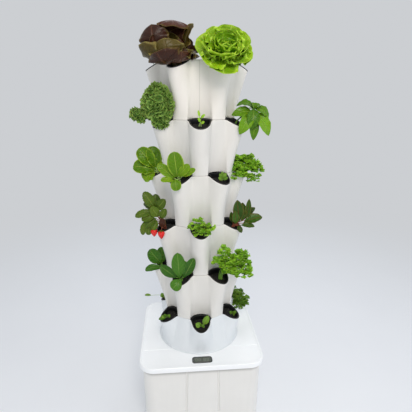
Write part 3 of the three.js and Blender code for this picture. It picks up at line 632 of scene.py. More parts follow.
def tongue(bearing, foot_height):
    """A curved plate under a ridge: a rounded rectangle of plate thickness and depth carried along an arc."""
    radius = CORNER_RADIUS - TONGUE_INSET - TONGUE_THICKNESS / 2
    spread = TONGUE_WIDTH / 2 / radius
    swing = np.linspace(0, 2 * np.pi, 20, endpoint=False)
    across = TONGUE_THICKNESS / 2 * np.sign(np.cos(swing)) * np.abs(np.cos(swing)) ** 0.5
    tall = (TONGUE_DEPTH + DECK) / 2
    height = foot_height + DECK / 2 - tall + tall * np.sign(np.sin(swing)) * np.abs(np.sin(swing)) ** 0.3
    along = np.linspace(-1, 1, 9)
    ends = 1 - 0.25 * np.abs(along) ** 6
    rings = [polar(radius + across * e, bearing + spread * a, height) for a, e in zip(along, ends)]
    return solid(np.stack(rings))


def base_tier():
    """The lowest tier: the lobed rim over a round foot with a rounded flange, and a spigot into the lid."""
    foot_height = LID_FIELD + SEAT_GAP
    rings, _, like = wall_rings(0.0, foot_height + FLANGE_HEIGHT, RIM[TIERS], True)
    flange = []
    for out, up in ((0.92, 0.0), (1.0, 0.12), (1.0, 0.3), (0.92, 0.45)):
        flange.append(round_curve(FOOT_RADIUS + FLANGE_WIDTH * out, like, foot_height + FLANGE_HEIGHT * up))
    for angle in np.linspace(0, np.pi / 2, 7)[1:-1]:
        radius = FOOT_RADIUS + FLANGE_WIDTH * 0.9 * (1 - math.sin(angle))
        height = foot_height + FLANGE_HEIGHT * (0.45 + 0.85 * (1 - math.cos(angle)))
        flange.append(round_curve(radius, like, height))
    bore = SPIGOT_RADIUS - SPIGOT_WALL
    spigot = ((bore, DECK), (bore, -SPIGOT_DEPTH), (SPIGOT_RADIUS, -SPIGOT_DEPTH), (SPIGOT_RADIUS, 0))
    rings += [round_curve(radius, like, foot_height + height) for radius, height in spigot]
    return [solid(np.stack(flange + rings), True)]


# Cups and growing medium


def cup_outline():
    """The mouth of a cup in its pocket: a half ellipse out to the lobe and one back to the valley. Gives the
    places outward and sideways, the drop with the dipping rim, the cosine of the swing or nought, and the
    swing."""
    swing = np.linspace(0, 2 * np.pi, 48, endpoint=False) - np.pi / 2
    along = np.cos(swing)
    front = np.clip(along, 0, 1)
    reach = np.where(along >= 0, TIP_RADIUS - CHORD - CUP_END_GAP, CHORD - VALLEY_RADIUS - CUP_BACK_GAP)
    sideways = (POCKET_WIDTH / 2 - CUP_SIDE_GAP) * np.sin(swing)
    return CHORD + reach * along, sideways, RIM_DIP * front, front, swing


def cup_rings(bearing, rim_height):
    """A net cup: a ribbed tapered body that leans with its pocket, a lip over the lobe's rim, and a ribbed
    inside. The ribs are a cosine of the swing."""
    out, side, dip, front, swing = cup_outline()
    middle = out.mean()
    ribs = np.cos(CUP_RIBS * swing)
    lean = math.tan(CUP_TILT)

    def level(scale, drop, rib=0.0, lip=0.0, rise=0.0):
        """The mouth scaled about its middle, at a drop below it along the lean, with ribs or a lip."""
        grow = 1 + rib * ribs / (POCKET_WIDTH / 2)
        reach = middle + (out - middle) * scale * grow + lip * np.sqrt(front) - drop * lean
        return pocket_points(reach, side * scale * grow, bearing, rim_height - dip - drop + rise)

    thin = 1 - CUP_WALL / (POCKET_WIDTH / 2)
    clear = 0.5 * MM
    rings = [level(CUP_TAPER * 0.9, CUP_DEPTH), level(CUP_TAPER, CUP_DEPTH * 0.96)]
    for share in np.linspace(0.88, 0.08, 8):
        rings.append(level(1 - (1 - CUP_TAPER) * share, CUP_DEPTH * share, -CUP_RIB_HEIGHT))
    rings += [level(0.99, 2 * MM), level(1, -clear * 0.4)]
    for scale, lip, rise in (
        (1, 0.9, 0), (1, 1, 0.4), (1, 0.85, 0.85), (0.995, 0.4, 1), (0.985, 0, 1), (thin * 0.99, 0, 0.5)
    ):
        rings.append(level(scale, 0, 0, CUP_LIP_REACH * lip, clear + CUP_LIP_RISE * rise))
    for drop in np.array([1.5, 4, 8, 12, 16]) * MM:
        rings.append(level(thin * 0.985 - (1 - CUP_TAPER) * drop / CUP_DEPTH, drop, CUP_RIB_HEIGHT))
    rings.append(level(thin * CUP_TAPER * 0.9, CUP_FLOOR))
    return np.stack(rings)


def medium_rings(bearing, rim_height, seed):
    """The top of the growing medium: rings that shrink to the cup's middle over a crown made lumpy by two
    sines, closed below."""
    out, side, dip, _, swing = cup_outline()
    middle = out.mean()
    lean = math.tan(CUP_TILT)
    thin = 1 - CUP_WALL / (POCKET_WIDTH / 2) - 0.02
    foot = middle + (out - middle) * 0.7 - MEDIUM_FOOT_SHIFT
    rings = [pocket_points(foot, side * 0.7, bearing, rim_height - dip - MEDIUM_FOOT)]
    for share in np.linspace(1, 0.06, 12):
        scale = thin * share
        drop = MEDIUM_DROP - MEDIUM_CROWN * (1 - share**2)
        lump = np.sin(5 * swing * (1 + share) + seed) + np.sin(9 * swing + 7 * share * seed)
        height = rim_height - dip * share - drop + MEDIUM_LUMP * lump * min(1.0, 3 * (1 - share))
        reach = middle + (out - middle) * scale - drop * lean
        rings.append(pocket_points(reach, side * scale, bearing, height))
    return np.stack(rings)


# Leaves and stems


def outline_share(u, widest, base, base_power, tip_power):
    """How wide a leaf is along its length: from a base share up a power of a sine to its widest, then down
    the power of a parabola to the tip, rounder for a small power."""
    rise = base + (1 - base) * np.sin(np.pi / 2 * np.clip(u / widest, 0, 1)) ** base_power
    fall = np.clip(1 - ((u - widest) / (1 - widest)) ** 2, 0, 1) ** tip_power
    return np.where(u < widest, rise, fall)


SHAPES = {
    "lettuce": (0.58, 0.5, 1.0, 0.46),
    "frill": (0.72, 0.34, 1.1, 0.38),
    "kale": (0.55, 0.3, 1.0, 0.42),
    "basil": (0.42, 0.1, 0.9, 0.85),
    "round": (0.55, 0.22, 1.0, 0.5),
    "spoon": (0.58, 0.16, 1.3, 0.55),
    "sorrel": (0.5, 0.12, 1.2, 0.75),
    "oval": (0.5, 0.15, 0.9, 0.6),
}


def spot(root, place):
    """A place given in millimetres to the right of a root, in front of it and above it."""
    right, front, above = np.array(place, float) * MM
    return np.array(root) + [right, -front, above]


def unit(vector):
    """A vector, or rows of vectors, brought to length one."""
    return vector / np.maximum(np.linalg.norm(vector, axis=-1, keepdims=True), 1e-9)


def thickened(sheet, thick, uv, ends, tone, slot):
    """A closed body whose sections are the rows of a sheet: out along one face, back along the other. The
    ends are the pattern places of its two middles."""
    rings = np.concatenate([sheet + thick, (sheet - thick)[:, ::-1]], 1)
    points, faces = skin(rings)
    uv = np.stack(np.broadcast_arrays(*uv), -1)
    uv = np.concatenate([uv, uv[:, ::-1]], 1).reshape(-1, 2)
    return points, faces, np.concatenate([uv, ends]), tone, slot


def blade_body(u, places, across, normal, width, shape, cup=0.2, ruffle=0.0, waves=5, roll=0.0, tone=0.5,
               thickness=0.7 * MM, columns=11, serration=0.0, slot=0):
    """A leaf blade: a grid over its length and width whose edges lift by the square of the distance from the
    midrib and swing in waves, thickened to a closed body that is thickest at the midrib."""
    u, v = u[:, None], np.linspace(-1, 1, columns)[None, :]
    half = width / 2 * np.maximum(outline_share(u, *SHAPES[shape]), 0.02)
    phase = tone * 17
    edge = np.abs(v)
    swing = 2 * np.pi * waves * u
    curl = np.sin(swing + phase + 1.3 * np.sign(v)) + 0.6 * np.sin(1.73 * swing + 2 * phase)
    if serration:
        half = half * (1 + serration * edge**4 * np.sin(2 * np.pi * 9 * u + phase))
    sideways = half * v * (1 - 0.25 * abs(cup) * v**2)
    fade = np.sin(np.pi * np.clip(u * 1.1, 0, 1)) ** 0.5
    lift = cup * half * v**2 + ruffle * edge**2.2 * curl * fade
    cos, sin = np.cos(math.radians(roll) * u), np.sin(math.radians(roll) * u)
    sideways, lift = sideways * cos - lift * sin, sideways * sin + lift * cos
    sheet = places[:, None] + sideways[..., None] * across + lift[..., None] * normal[:, None]
    facing = unit(np.cross(np.gradient(sheet, axis=0), np.gradient(sheet, axis=1)))
    rib = 1 + 2.2 * np.exp(-((v / 0.1) ** 2)) * (1 - u * 0.8)
    thick = (thickness / 2 * (1 - 0.6 * edge**3) * rib)[..., None] * facing
    return thickened(sheet, thick, (u, v / 2 + 0.5), [[0, 0.5], [1, 0.5]], tone, slot)


def leaf(root, bearing, rise, length, width, shape, rows=22, **options):
    """A leaf that leaves its root along a bearing: its midrib's elevation changes evenly from start to end,
    and its places are the running sum of its steps."""
    u = np.linspace(0, 1, rows) ** 0.9
    turn, (start, end) = math.radians(bearing), np.radians(rise)
    angle = start + (end - start) * u
    step = np.diff(u, prepend=0) * length
    forward, height = np.cumsum(np.cos(angle) * step), np.cumsum(np.sin(angle) * step)
    ahead = np.array([math.sin(turn), -math.cos(turn), 0])
    across = np.array([math.cos(turn), math.sin(turn), 0])
    up = np.array([0, 0, 1])
    places = np.array(root) + forward[:, None] * ahead + height[:, None] * up
    normal = -np.sin(angle)[:, None] * ahead + np.cos(angle)[:, None] * up
    return blade_body(u, places, across, normal, width, shape, **options)


def blade(base, tip, width, shape, face, arch=0.1, rows=22, **options):
    """A leaf from a base to a tip: its midrib is the line between them, raised by a parabola towards the side
    that it faces (right, front, above)."""
    u = np.linspace(0, 1, rows) ** 0.9
    run = np.array(tip) - np.array(base)
    length = np.linalg.norm(run)
    ahead = run / length
    look = np.array([face[0], -face[1], face[2]], float)
    look = unit(look - look @ ahead * ahead)
    places = np.array(base) + u[:, None] * run + (4 * u * (1 - u) * arch * length)[:, None] * look
    normal = unit(look - (4 * (1 - 2 * u) * arch)[:, None] * ahead)
    return blade_body(u, places, np.cross(ahead, look), normal, width, shape, **options)


def shoot(start, end, radius, lift=0.4, tip_radius=None, sides=8, steps=9):
    """A stem: a circle of shrinking radius carried along a quadratic curve that leaves its start upwards."""
    start, end = np.array(start), np.array(end)
    bend = start + [0, 0, lift * np.linalg.norm(end - start)]
    u = np.linspace(0, 1, steps)[:, None]
    places = (1 - u) ** 2 * start + 2 * u * (1 - u) * bend + u**2 * end
    ahead = unit(np.gradient(places, axis=0))
    side = unit(np.cross(ahead, [0.3, 0.9, 0.3]))
    size = radius + ((tip_radius or radius * 0.7) - radius) * u
    swing = np.linspace(0, 2 * np.pi, sides, endpoint=False)[None, :, None]
    circle = np.cos(swing) * side[:, None] + np.sin(swing) * np.cross(side, ahead)[:, None]
    points, faces = skin(places[:, None] + size[:, None] * circle)
    uv = np.stack(np.broadcast_arrays(u, swing[0, :, 0] / (2 * np.pi)), -1).reshape(-1, 2)
    return points, faces, np.concatenate([uv, [[0, 0], [1, 0]]]), 0.5, 1


def fan_leaf(root, bearing, rise, size, tone):
    """A small leaflet of three lobes: its radius over a fan of angles has a bulge for each lobe, and its face
    waves with the angle."""
    turn, lift = math.radians(bearing), math.radians(rise)
    swing = np.linspace(-1.35, 1.35, 15)[:, None]
    ahead = np.array([math.sin(turn) * math.cos(lift), -math.cos(turn) * math.cos(lift), math.sin(lift)])
    across = np.array([math.cos(turn), math.sin(turn), 0])
    normal = np.cross(across, ahead)
    reach = size * (0.7 + 0.3 * np.abs(np.cos(3 * swing * 1.15)) ** 0.6) * (1 - 0.12 * np.abs(swing))
    share = np.linspace(0.05, 1, 4)[None, :]
    spread = np.cos(swing)[..., None] * ahead + np.sin(swing)[..., None] * across
    wave = 0.14 * size * share**2 * np.cos(3 * swing + 9 * tone) - 0.1 * size * share**2
    sheet = np.array(root) + (reach * share)[..., None] * spread + wave[..., None] * normal
    return thickened(sheet, 0.25 * MM * normal, (share, swing / 2.7 + 0.5), [[0, 0.5], [0, 0.5]], tone, 0)


# Plants: each gives its bodies around the middle of its cup's mouth. A leaf faces (right, front, above).

FRONT = (0, 1, 0.35)
ABOVE = (0, 0.5, 1)


def rosette(centre, axis, layers, shape, seed, **options):
    """A head of leaves round an axis (right, front, above): layers of leaves evenly round the centre, each
    layer (count, length, width, start, end, cup, slot), made upright and turned as one to the axis."""
    rng = np.random.default_rng(seed)
    up = unit(np.array([axis[0], -axis[1], axis[2]], float))
    side = unit(np.cross([0, 1, 0], up))
    turn = np.stack([side, np.cross(up, side), up])
    parts = []
    for layer, (count, length, width, start, end, cup, slot) in enumerate(layers):
        for k in range(count):
            bearing = 360 * (k + 0.5 * (layer % 2)) / count + rng.uniform(-10, 10)
            size = rng.uniform(0.9, 1.06) * MM
            rise = (start + rng.uniform(-5, 5), end + rng.uniform(-9, 9))
            body = leaf(np.zeros(3), bearing, rise, length * size, width * size, shape, cup=cup, slot=slot,
                        roll=rng.uniform(-14, 14), tone=rng.uniform(0, 1), **options)
            parts.append((centre + body[0] @ turn, *body[1:]))
    return parts


def hand_set(root, leaves, shape, seed, stem=2.0, **options):
    """Leaves set one by one on stems, each (base, tip, width, face, arch) in millimetres from the root. One
    that gives no face and arch faces the front."""
    rng = np.random.default_rng(seed)
    parts = []
    for base, tip, width, *look in leaves:
        face, arch = look or (FRONT, 0.1)
        start = spot(root, (rng.uniform(-5, 5), rng.uniform(-4, 4), -3))
        parts.append(shoot(start, spot(root, base), stem * MM, 0.3))
        ends = spot(root, base), spot(root, tip)
        parts.append(blade(*ends, width * MM, shape, face, arch, tone=rng.uniform(0, 1), **options))
    return parts


def curly_mass(root, centre, radii, count, size, seed, **options):
    """Small ruffled leaflets over an ellipsoid: the golden angle spreads them, each is turned at random in
    the surface, and those that would reach the tower's wall are pushed out to it."""
    rng = np.random.default_rng(seed)
    golden = math.pi * (3 - math.sqrt(5))
    parts = []
    for k in range(count):
        height = 1 - 2 * (k + 0.5) / count
        level = math.sqrt(1 - height**2)
        out = np.array([level * math.cos(k * golden), level * math.sin(k * golden), height])
        normal = unit(out / np.array(radii))
        tangent = unit(np.cross(normal, rng.normal(size=3)))
        place = np.array(centre) + np.array(radii) * out * rng.uniform(0.88, 1.04)
        half = size * rng.uniform(0.4, 0.6)
        low, high = place - tangent * half - normal * 5, place + tangent * half + normal * 3
        ends = [spot(root, low), spot(root, high)]
        middle = (ends[0] + ends[1]) / 2
        wall = CORNER_RADIUS + (size * 0.55 + 0.16 * max(place[2], 0)) * MM
        shift = middle[:2] * max(wall / math.hypot(*middle[:2]) - 1, 0)
        for end in ends:
            end[:2] += shift
        width = size * rng.uniform(0.8, 1.1) * MM
        looks = dict(tone=rng.uniform(0, 1), thickness=0.5 * MM, **options)
        parts.append(blade(*ends, width, "kale", normal, 0.16, **looks))
    return parts


def sprigs(root, places, size, seed, twigs=8, lean=0.35):
    """Thin stems from the root to listed places, each with a round bunch of lobed leaflets on short twigs."""
    rng = np.random.default_rng(seed)
    parts = []
    for place in places:
        end = spot(root, place)
        start = spot(root, (rng.uniform(-7, 7), rng.uniform(-5, 5), -3))
        parts.append(shoot(start, end, 1.3 * MM, lean, 0.7 * MM))
        for k in range(twigs):
            bearing = 137.5 * k + rng.uniform(-20, 20)
            reach = size * rng.uniform(0.6, 1.2)
            side = [reach * math.sin(math.radians(bearing)), reach * math.cos(math.radians(bearing))]
            tip = end + np.array([side[0], -side[1], size * rng.uniform(-0.7, 0.9)]) * MM
            parts.append(shoot(end, tip, 0.6 * MM, 0.2, 0.4 * MM, sides=5, steps=4))
            for turn in (-65, 0, 65):
                leaf_size = size * rng.uniform(0.75, 1.05) * MM
                rise, tone = rng.uniform(-25, 60), rng.uniform(0, 1)
                parts.append(fan_leaf(tip, bearing + turn, rise, leaf_size, tone))
    return parts


def berry(centre, radius, length):
    """A hanging strawberry: a circle whose radius follows a rounded cone from the calyx down to the tip."""
    share = np.linspace(0.01, 0.995, 16)
    size = radius * np.sin(np.pi * share**0.62) ** 0.75
    profile = np.column_stack([size, -length * share])
    points, faces = skin(lathe(profile, 24, centre))
    return points, faces, None, 0.5, 2


def red_lettuce(root):
    """A loose head of big bulging leaves: plum domes at the left and top, a wavy olive leaf in front of them,
    wide outer leaves below, and a pointed leaf at the right. Each is (base, tip, width, face, arch, cup,
    slot)."""
    plum, olive = 0, 1
    leaves = (
        ((-50, -4, 26), (-70, 6, 108), 98, (-0.3, 1, 0.1), 0.2, -0.26, plum),
        ((-46, -26, 24), (-44, -26, 112), 92, (-0.1, 1, 0.1), 0.1, -0.2, plum),
        ((-12, -40, 88), (-6, 34, 100), 104, (0.1, 0.35, 1), 0.36, -0.36, plum),
        ((-14, -28, 20), (-8, -34, 112), 112, FRONT, -0.1, 0.3, plum),
        ((-22, -10, 16), (-24, -12, 92), 84, FRONT, -0.1, 0.4, olive),
        ((-44, 4, 18), (-70, 24, 76), 74, (0.5, 0.8, 0.3), -0.12, 0.4, plum),
        ((6, 0, 14), (20, -14, 104), 74, (-0.8, 0.8, 0.1), 0.1, 0.36, plum),
        ((20, 4, 18), (50, -2, 114), 44, (-0.8, 0.7, 0), 0.08, 0.3, olive),
        ((-22, 30, 6), (-34, 48, 66), 116, (0, -1, 0.5), -0.22, 0.3, olive),
        ((6, 20, 4), (10, 36, 66), 72, (-0.7, -0.7, 0.3), -0.16, 0.4, plum),
        ((-22, 6, 8), (-108, 22, 50), 98, (0.4, -0.5, 1), -0.17, 0.36, olive),
        ((-14, 24, 2), (-56, 72, 28), 122, (0.1, -0.6, 1), -0.22, 0.4, plum),
        ((2, 22, 2), (14, 62, 30), 88, (-0.4, -0.6, 1), -0.2, 0.4, plum),
        ((8, 12, 4), (64, 30, 30), 44, (0, 0.5, 1), 0.14, 0.2, olive),
        ((12, -14, 4), (74, -16, 44), 60, (-0.2, 0.6, 1), 0.1, 0.2, plum),
        ((-20, -12, 10), (-58, -64, 88), 104, (0.4, 0.8, 0.6), -0.16, 0.4, plum),
        ((4, -14, 10), (26, -58, 84), 96, (-0.4, 0.8, 0.6), -0.16, 0.4, plum),
    )
    parts = [shoot(spot(root, (0, 0, -3)), spot(root, (-14, 2, 22)), 12 * MM, 0.4, 14 * MM)]
    for k, (base, tip, width, face, arch, cup, slot) in enumerate(leaves):
        looks = dict(cup=cup, ruffle=7 * MM, waves=2.2, slot=slot, tone=(0.37 * k) % 1, rows=30, columns=21)
        parts.append(blade(spot(root, base), spot(root, tip), width * MM, "lettuce", face, arch, **looks))
    return parts


def lime_lettuce(root):
    """A frilly open head with a darker heart, whose lower leaves lie over the rim."""
    centre = spot(root, (3, 14, 28))
    layers = (
        (9, 92, 84, -6, 26, 0.15, 0), (8, 84, 82, 16, 52, 0.25, 0), (7, 66, 66, 38, 84, 0.35, 2),
        (5, 44, 48, 58, 120, 0.45, 2),
    )
    looks = dict(ruffle=7 * MM, waves=4, rows=34, columns=19)
    parts = rosette(centre, (0.04, 0.7, 0.71), layers, "frill", 12, **looks)
    return parts + [shoot(spot(root, (0, 0, -3)), centre, 11 * MM, 0.4, 9 * MM)]


def small_red_lettuce(root):
    """A young head at the rear that leans to the right."""
    centre = spot(root, (34, -2, 30))
    layers = ((6, 62, 58, 22, 50, 0.35, 2), (5, 56, 54, 55, 90, 0.45, 0))
    parts = rosette(centre, (0.3, 0.1, 0.9), layers, "lettuce", 13, ruffle=4 * MM, waves=3)
    return parts + [shoot(spot(root, (0, 0, -3)), centre, 7 * MM, 0.4, 6 * MM)]


def curly_kale(root):
    """A tight ball of curled leaves with one lobe to the left and one over the rim."""
    looks = dict(ruffle=3.6 * MM, waves=2, cup=0.6, rows=11, columns=9)
    masses = (
        ((-1, 16, 64), (47, 40, 52), 200, 29, 14), ((-1, 16, 64), (36, 32, 42), 80, 28, 44),
        ((-80, 12, 32), (13, 13, 13), 34, 19, 24), ((-64, 14, 20), (9, 9, 9), 20, 17, 54),
        ((-40, 12, 44), (16, 16, 18), 40, 22, 64), ((-2, 28, 8), (19, 14, 14), 40, 21, 34),
    )
    parts = [leaflet for mass in masses for leaflet in curly_mass(root, *mass, **looks)]
    for end in ((-12, 10, 60), (-60, 10, 34), (-30, 12, 50), (8, 14, 40), (-8, 26, 6)):
        parts.append(shoot(spot(root, (0, 0, -3)), spot(root, end), 4 * MM, 0.3, 3 * MM))
    return parts


def basil(root):
    """A stem that leans out to a crown of large glossy leaves, most of them hanging."""
    crown = spot(root, (56, 10, 42))
    leaves = (
        ((2, 2, 4), (-8, 4, 26), 24, ABOVE, 0.2), ((0, 0, 6), (-56, -4, 14), 36, (0, 0.7, 1), 0.3),
        ((-4, 4, -4), (-72, 6, -14), 40, (0, 1, 0.7), 0.14),
        ((-6, 10, -4), (-48, 22, -74), 44, FRONT, 0.16), ((0, 10, 6), (-10, 26, -58), 44, FRONT, 0.18),
        ((2, 6, -16), (0, 16, -94), 34), ((4, 2, 8), (52, -2, -26), 42, (0.3, 0.8, 0.8), 0.2),
        ((6, 8, -4), (52, 12, -80), 46, (0.2, 1, 0.4), 0.14), ((2, 0, 6), (26, 0, 16), 30, ABOVE, 0.24),
        ((0, -4, 6), (-18, -34, -4), 38, ABOVE, 0.2),
    )
    stem = shoot(spot(root, (0, 0, -3)), crown, 2.6 * MM, 0.3, 2.2 * MM)
    return [stem] + hand_set(crown, leaves, "basil", 15, 1.3, cup=0.24, ruffle=1.2 * MM, waves=3)


def pale_chard(root):
    """Broad puckered leaves that fan out to the left of the tower."""
    leaves = (
        ((-14, 8, 30), (-66, 6, 92), 60), ((-8, 6, 26), (-24, 4, 99), 58, (0.2, 1, 0.2), 0.1),
        ((-14, 10, 16), (-87, 12, 32), 60, (0, 1, 0.6), 0.12),
        ((-14, 14, 10), (-52, 20, -16), 48, (-0.2, 1, 0.5), 0.14),
        ((-2, -2, 12), (-4, -8, 84), 56, (-0.4, 1, 0), 0.08), ((-8, 2, 8), (-44, 0, 62), 60),
        ((-20, -14, 16), (-62, -44, 50), 46, ABOVE, 0.12),
    )
    return hand_set(root, leaves, "round", 16, 2.4, cup=0.3, ruffle=5 * MM, waves=2.5)


def bright_chard(root):
    """One large veined oval leaf upright, small ones at its sides, and one that hangs over the rim."""
    leaves = (
        ((-5, 12, 16), (-14, 20, 98), 56), ((0, 14, 18), (34, 26, 58), 30),
        ((12, 14, 18), (53, 30, 44), 22), ((-16, 12, 12), (-66, 16, 58), 34),
        ((-12, 26, 10), (-8, 40, -24), 36, (0, 1, 0.5), 0.16),
        ((-18, 20, 6), (-58, 26, 8), 22, (0, 1, 0.8), 0.12),
    )
    return hand_set(root, leaves, "round", 26, 2.2, cup=0.2, ruffle=1.4 * MM, waves=2)


def strawberry_plant(root):
    """Toothed leaves on red stems, one dark red leaf, and two berries that hang outside the rim."""
    leaves = (
        ((-33, 8, 76), (-68, 4, 132), 40), ((-26, 10, 70), (4, 18, 108), 36),
        ((-36, 10, 60), (-101, 8, 46), 32, (0, 0.9, 0.7), 0.14),
        ((-30, 14, 54), (-78, 20, 36), 34, (0, 1, 0.6), 0.12),
        ((-62, 12, 34), (-78, 14, -20), 25, (-0.3, 1, 0.2), 0.12),
        ((-50, 16, 28), (-58, 22, -18), 28, (0, 1, 0.3), 0.12),
        ((-24, 4, 74), (-30, -4, 122), 34, FRONT, 0.08), ((-40, -8, 60), (-70, -34, 84), 34, ABOVE, 0.1),
        ((-30, 16, 40), (-64, 26, 14), 32, (0, 1, 0.7), 0.12), ((-22, 14, 46), (-44, 22, 84), 36),
        ((-14, 14, 40), (6, 24, 76), 28), ((-28, 18, 34), (-40, 34, 2), 26, (0, 1, 0.5), 0.12),
    )
    looks = dict(cup=0.28, ruffle=1.2 * MM, waves=4, serration=0.07)
    parts = hand_set(root, leaves, "oval", 17, 1.6, **looks)
    red_leaf = spot(root, (-10, 18, 8)), spot(root, (-6, 20, 42))
    parts.append(blade(*red_leaf, 27 * MM, "oval", FRONT, 0.1, slot=3, **looks))
    sepal = dict(rows=7, columns=5, thickness=0.4 * MM)
    for place, start in (((-37, 27, 7), (-26, 14, 10)), ((-12, 40, 3), (-8, 26, 8))):
        calyx, bend = spot(root, place), spot(root, start)
        parts += [shoot(spot(root, (0, 4, -3)), bend, 1.2 * MM, 0.6), berry(calyx, 12 * MM, 30 * MM)]
        parts.append(shoot(bend, calyx, 1.1 * MM, 0.8, 0.8 * MM))
        top = calyx + [0, 0, 0.5 * MM]
        parts += [leaf(top, 72 * k, (10, -35), 11 * MM, 5 * MM, "oval", **sepal) for k in range(5)]
    return parts


def red_sorrel(root):
    """Upright dark leaves with reddish stems and midribs, and one that leans out to the right."""
    leaves = (
        ((18, 8, 18), (10, 12, 98), 44, FRONT, 0.05), ((30, 4, 18), (31, 2, 86), 34, FRONT, 0.05),
        ((46, 4, 22), (54, 4, 99), 24, FRONT, 0.05), ((36, 10, 12), (101, 14, 34), 42, (0, 0.8, 1), 0.12),
        ((6, 14, 12), (2, 22, 62), 30, FRONT, 0.06), ((24, 20, 8), (72, 26, 4), 22, (0, 1, 0.9), 0.12),
        ((12, 22, 6), (24, 38, -14), 20, (0, 1, 0.7), 0.14), ((40, -8, 20), (84, -34, 56), 28, ABOVE, 0.1),
        ((-4, 6, 14), (-10, 8, 54), 20, FRONT, 0.06),
    )
    return hand_set(root, leaves, "sorrel", 18, 1.9, cup=0.3, ruffle=1.2 * MM, waves=3)


def far_spinach(root):
    """Two round dark leaves upright and a narrow one out over the rim."""
    leaves = (
        ((-4, 6, 14), (-44, 10, 72), 52), ((4, -2, 16), (-2, -8, 74), 38, FRONT, 0.08),
        ((0, 24, 4), (-62, 22, -6), 30, (0, 0.8, 1), 0.16),
        ((-10, -12, 10), (-52, -38, 40), 40, ABOVE, 0.12),
    )
    return hand_set(root, leaves, "round", 19, 2.2, cup=0.24, ruffle=0.8 * MM, waves=2)


def spinach(root):
    """A tall leaf in the middle, one at each side and one that hangs over the rim."""
    leaves = (
        ((-5, 12, 14), (-10, 22, 112), 50, FRONT, 0.07), ((-16, 14, 16), (-70, 20, 66), 36),
        ((10, 14, 16), (46, 26, 92), 38, FRONT, 0.08), ((0, 26, 12), (-30, 42, -14), 44, (0, 1, 0.6), 0.18),
        ((6, 0, 14), (14, -4, 70), 36, FRONT, 0.08),
    )
    return hand_set(root, leaves, "spoon", 29, 2.2, cup=0.24, ruffle=0.8 * MM, waves=2)


def coriander_right(root):
    """A dense round bunch that hangs a little over the right side."""
    places = (
        (-24, 30, 10), (-14, 24, 34), (10, 12, 50), (36, 10, 52), (60, 10, 38), (76, 10, 14), (48, 20, 16),
        (22, 26, 26), (0, 34, 16), (30, 30, -4), (58, 22, -20), (38, -18, 38), (12, -22, 40), (60, -20, 20),
        (-28, 30, 22), (14, 34, 2), (44, 24, 34), (-8, 38, -2),
    )
    return sprigs(root, places, 16, 21, 11)


def small_coriander(root):
    """A low bunch that fills its cup, with one taller sprig."""
    places = ((-26, 12, 22), (-8, 8, 50), (10, 14, 30), (30, 12, 20), (-8, 22, 14), (14, 24, 10))
    return sprigs(root, places, 12, 22, 8)


def coriander_low(root):
    """Tall sprigs that lean out to the right on pale stems."""
    places = (
        (10, 22, 108), (-8, 22, 76), (28, 24, 84), (42, 22, 60), (26, 26, 42), (56, 18, 88), (72, 14, 100),
        (80, 12, 74), (62, 20, 50), (90, 12, 46), (94, 12, 22), (46, 26, 26), (36, 8, 68), (68, -4, 66),
        (14, 28, 60), (70, 20, 28),
    )
    return sprigs(root, places, 15, 23, 10, 0.5)


def coriander_rear(root):
    """A bunch that hangs over the right side of the lowest tier."""
    places = (
        (22, 6, 4), (42, 8, 0), (62, 8, -16), (36, 14, -30), (56, 14, -46), (74, 6, -30), (22, 0, 16),
        (46, -14, -8), (48, 12, -22),
    )
    return sprigs(root, places, 15, 24, 10)


PLANTS = {
    (1, -30): (red_lettuce, [LEAF["red_lettuce_leaf"], LEAF["olive_lettuce_leaf"]]),
    (1, 30): (lime_lettuce, [LEAF["lime_lettuce_leaf"], PALE_STEM, LEAF["lime_lettuce_heart"]]),
    (1, -150): (small_red_lettuce, [LEAF["red_lettuce_leaf"], PALE_STEM, LEAF["olive_lettuce_leaf"]]),
    (2, -60): (curly_kale, [LEAF["curly_kale_leaf"], PALE_STEM]),
    (2, 60): (basil, [LEAF["basil_leaf"], GREEN_STEM]),
    (3, -90): (pale_chard, [LEAF["bright_chard_leaf"], PALE_STEM]),
    (3, -30): (bright_chard, [LEAF["bright_chard_leaf"], PALE_STEM]),
    (3, 90): (coriander_right, [LEAF["coriander_leaf"], GREEN_STEM]),
    (4, -60): (strawberry_plant, [LEAF["strawberry_leaf"], RED_STEM, BERRY, LEAF["red_lettuce_leaf"]]),
    (4, 0): (small_coriander, [LEAF["coriander_leaf"], GREEN_STEM]),
    (4, 60): (red_sorrel, [LEAF["sorrel_leaf"], RED_STEM]),
    (5, -90): (far_spinach, [LEAF["spinach_leaf"], GREEN_STEM]),
    (5, -30): (spinach, [LEAF["spinach_leaf"], GREEN_STEM]),
    (5, 30): (coriander_low, [LEAF["coriander_leaf"], GREEN_STEM]),
    (6, 120): (coriander_rear, [LEAF["young_leaf"], GREEN_STEM]),
}

# The young plant whose leaves are the palest
PALEST = (2, 0)

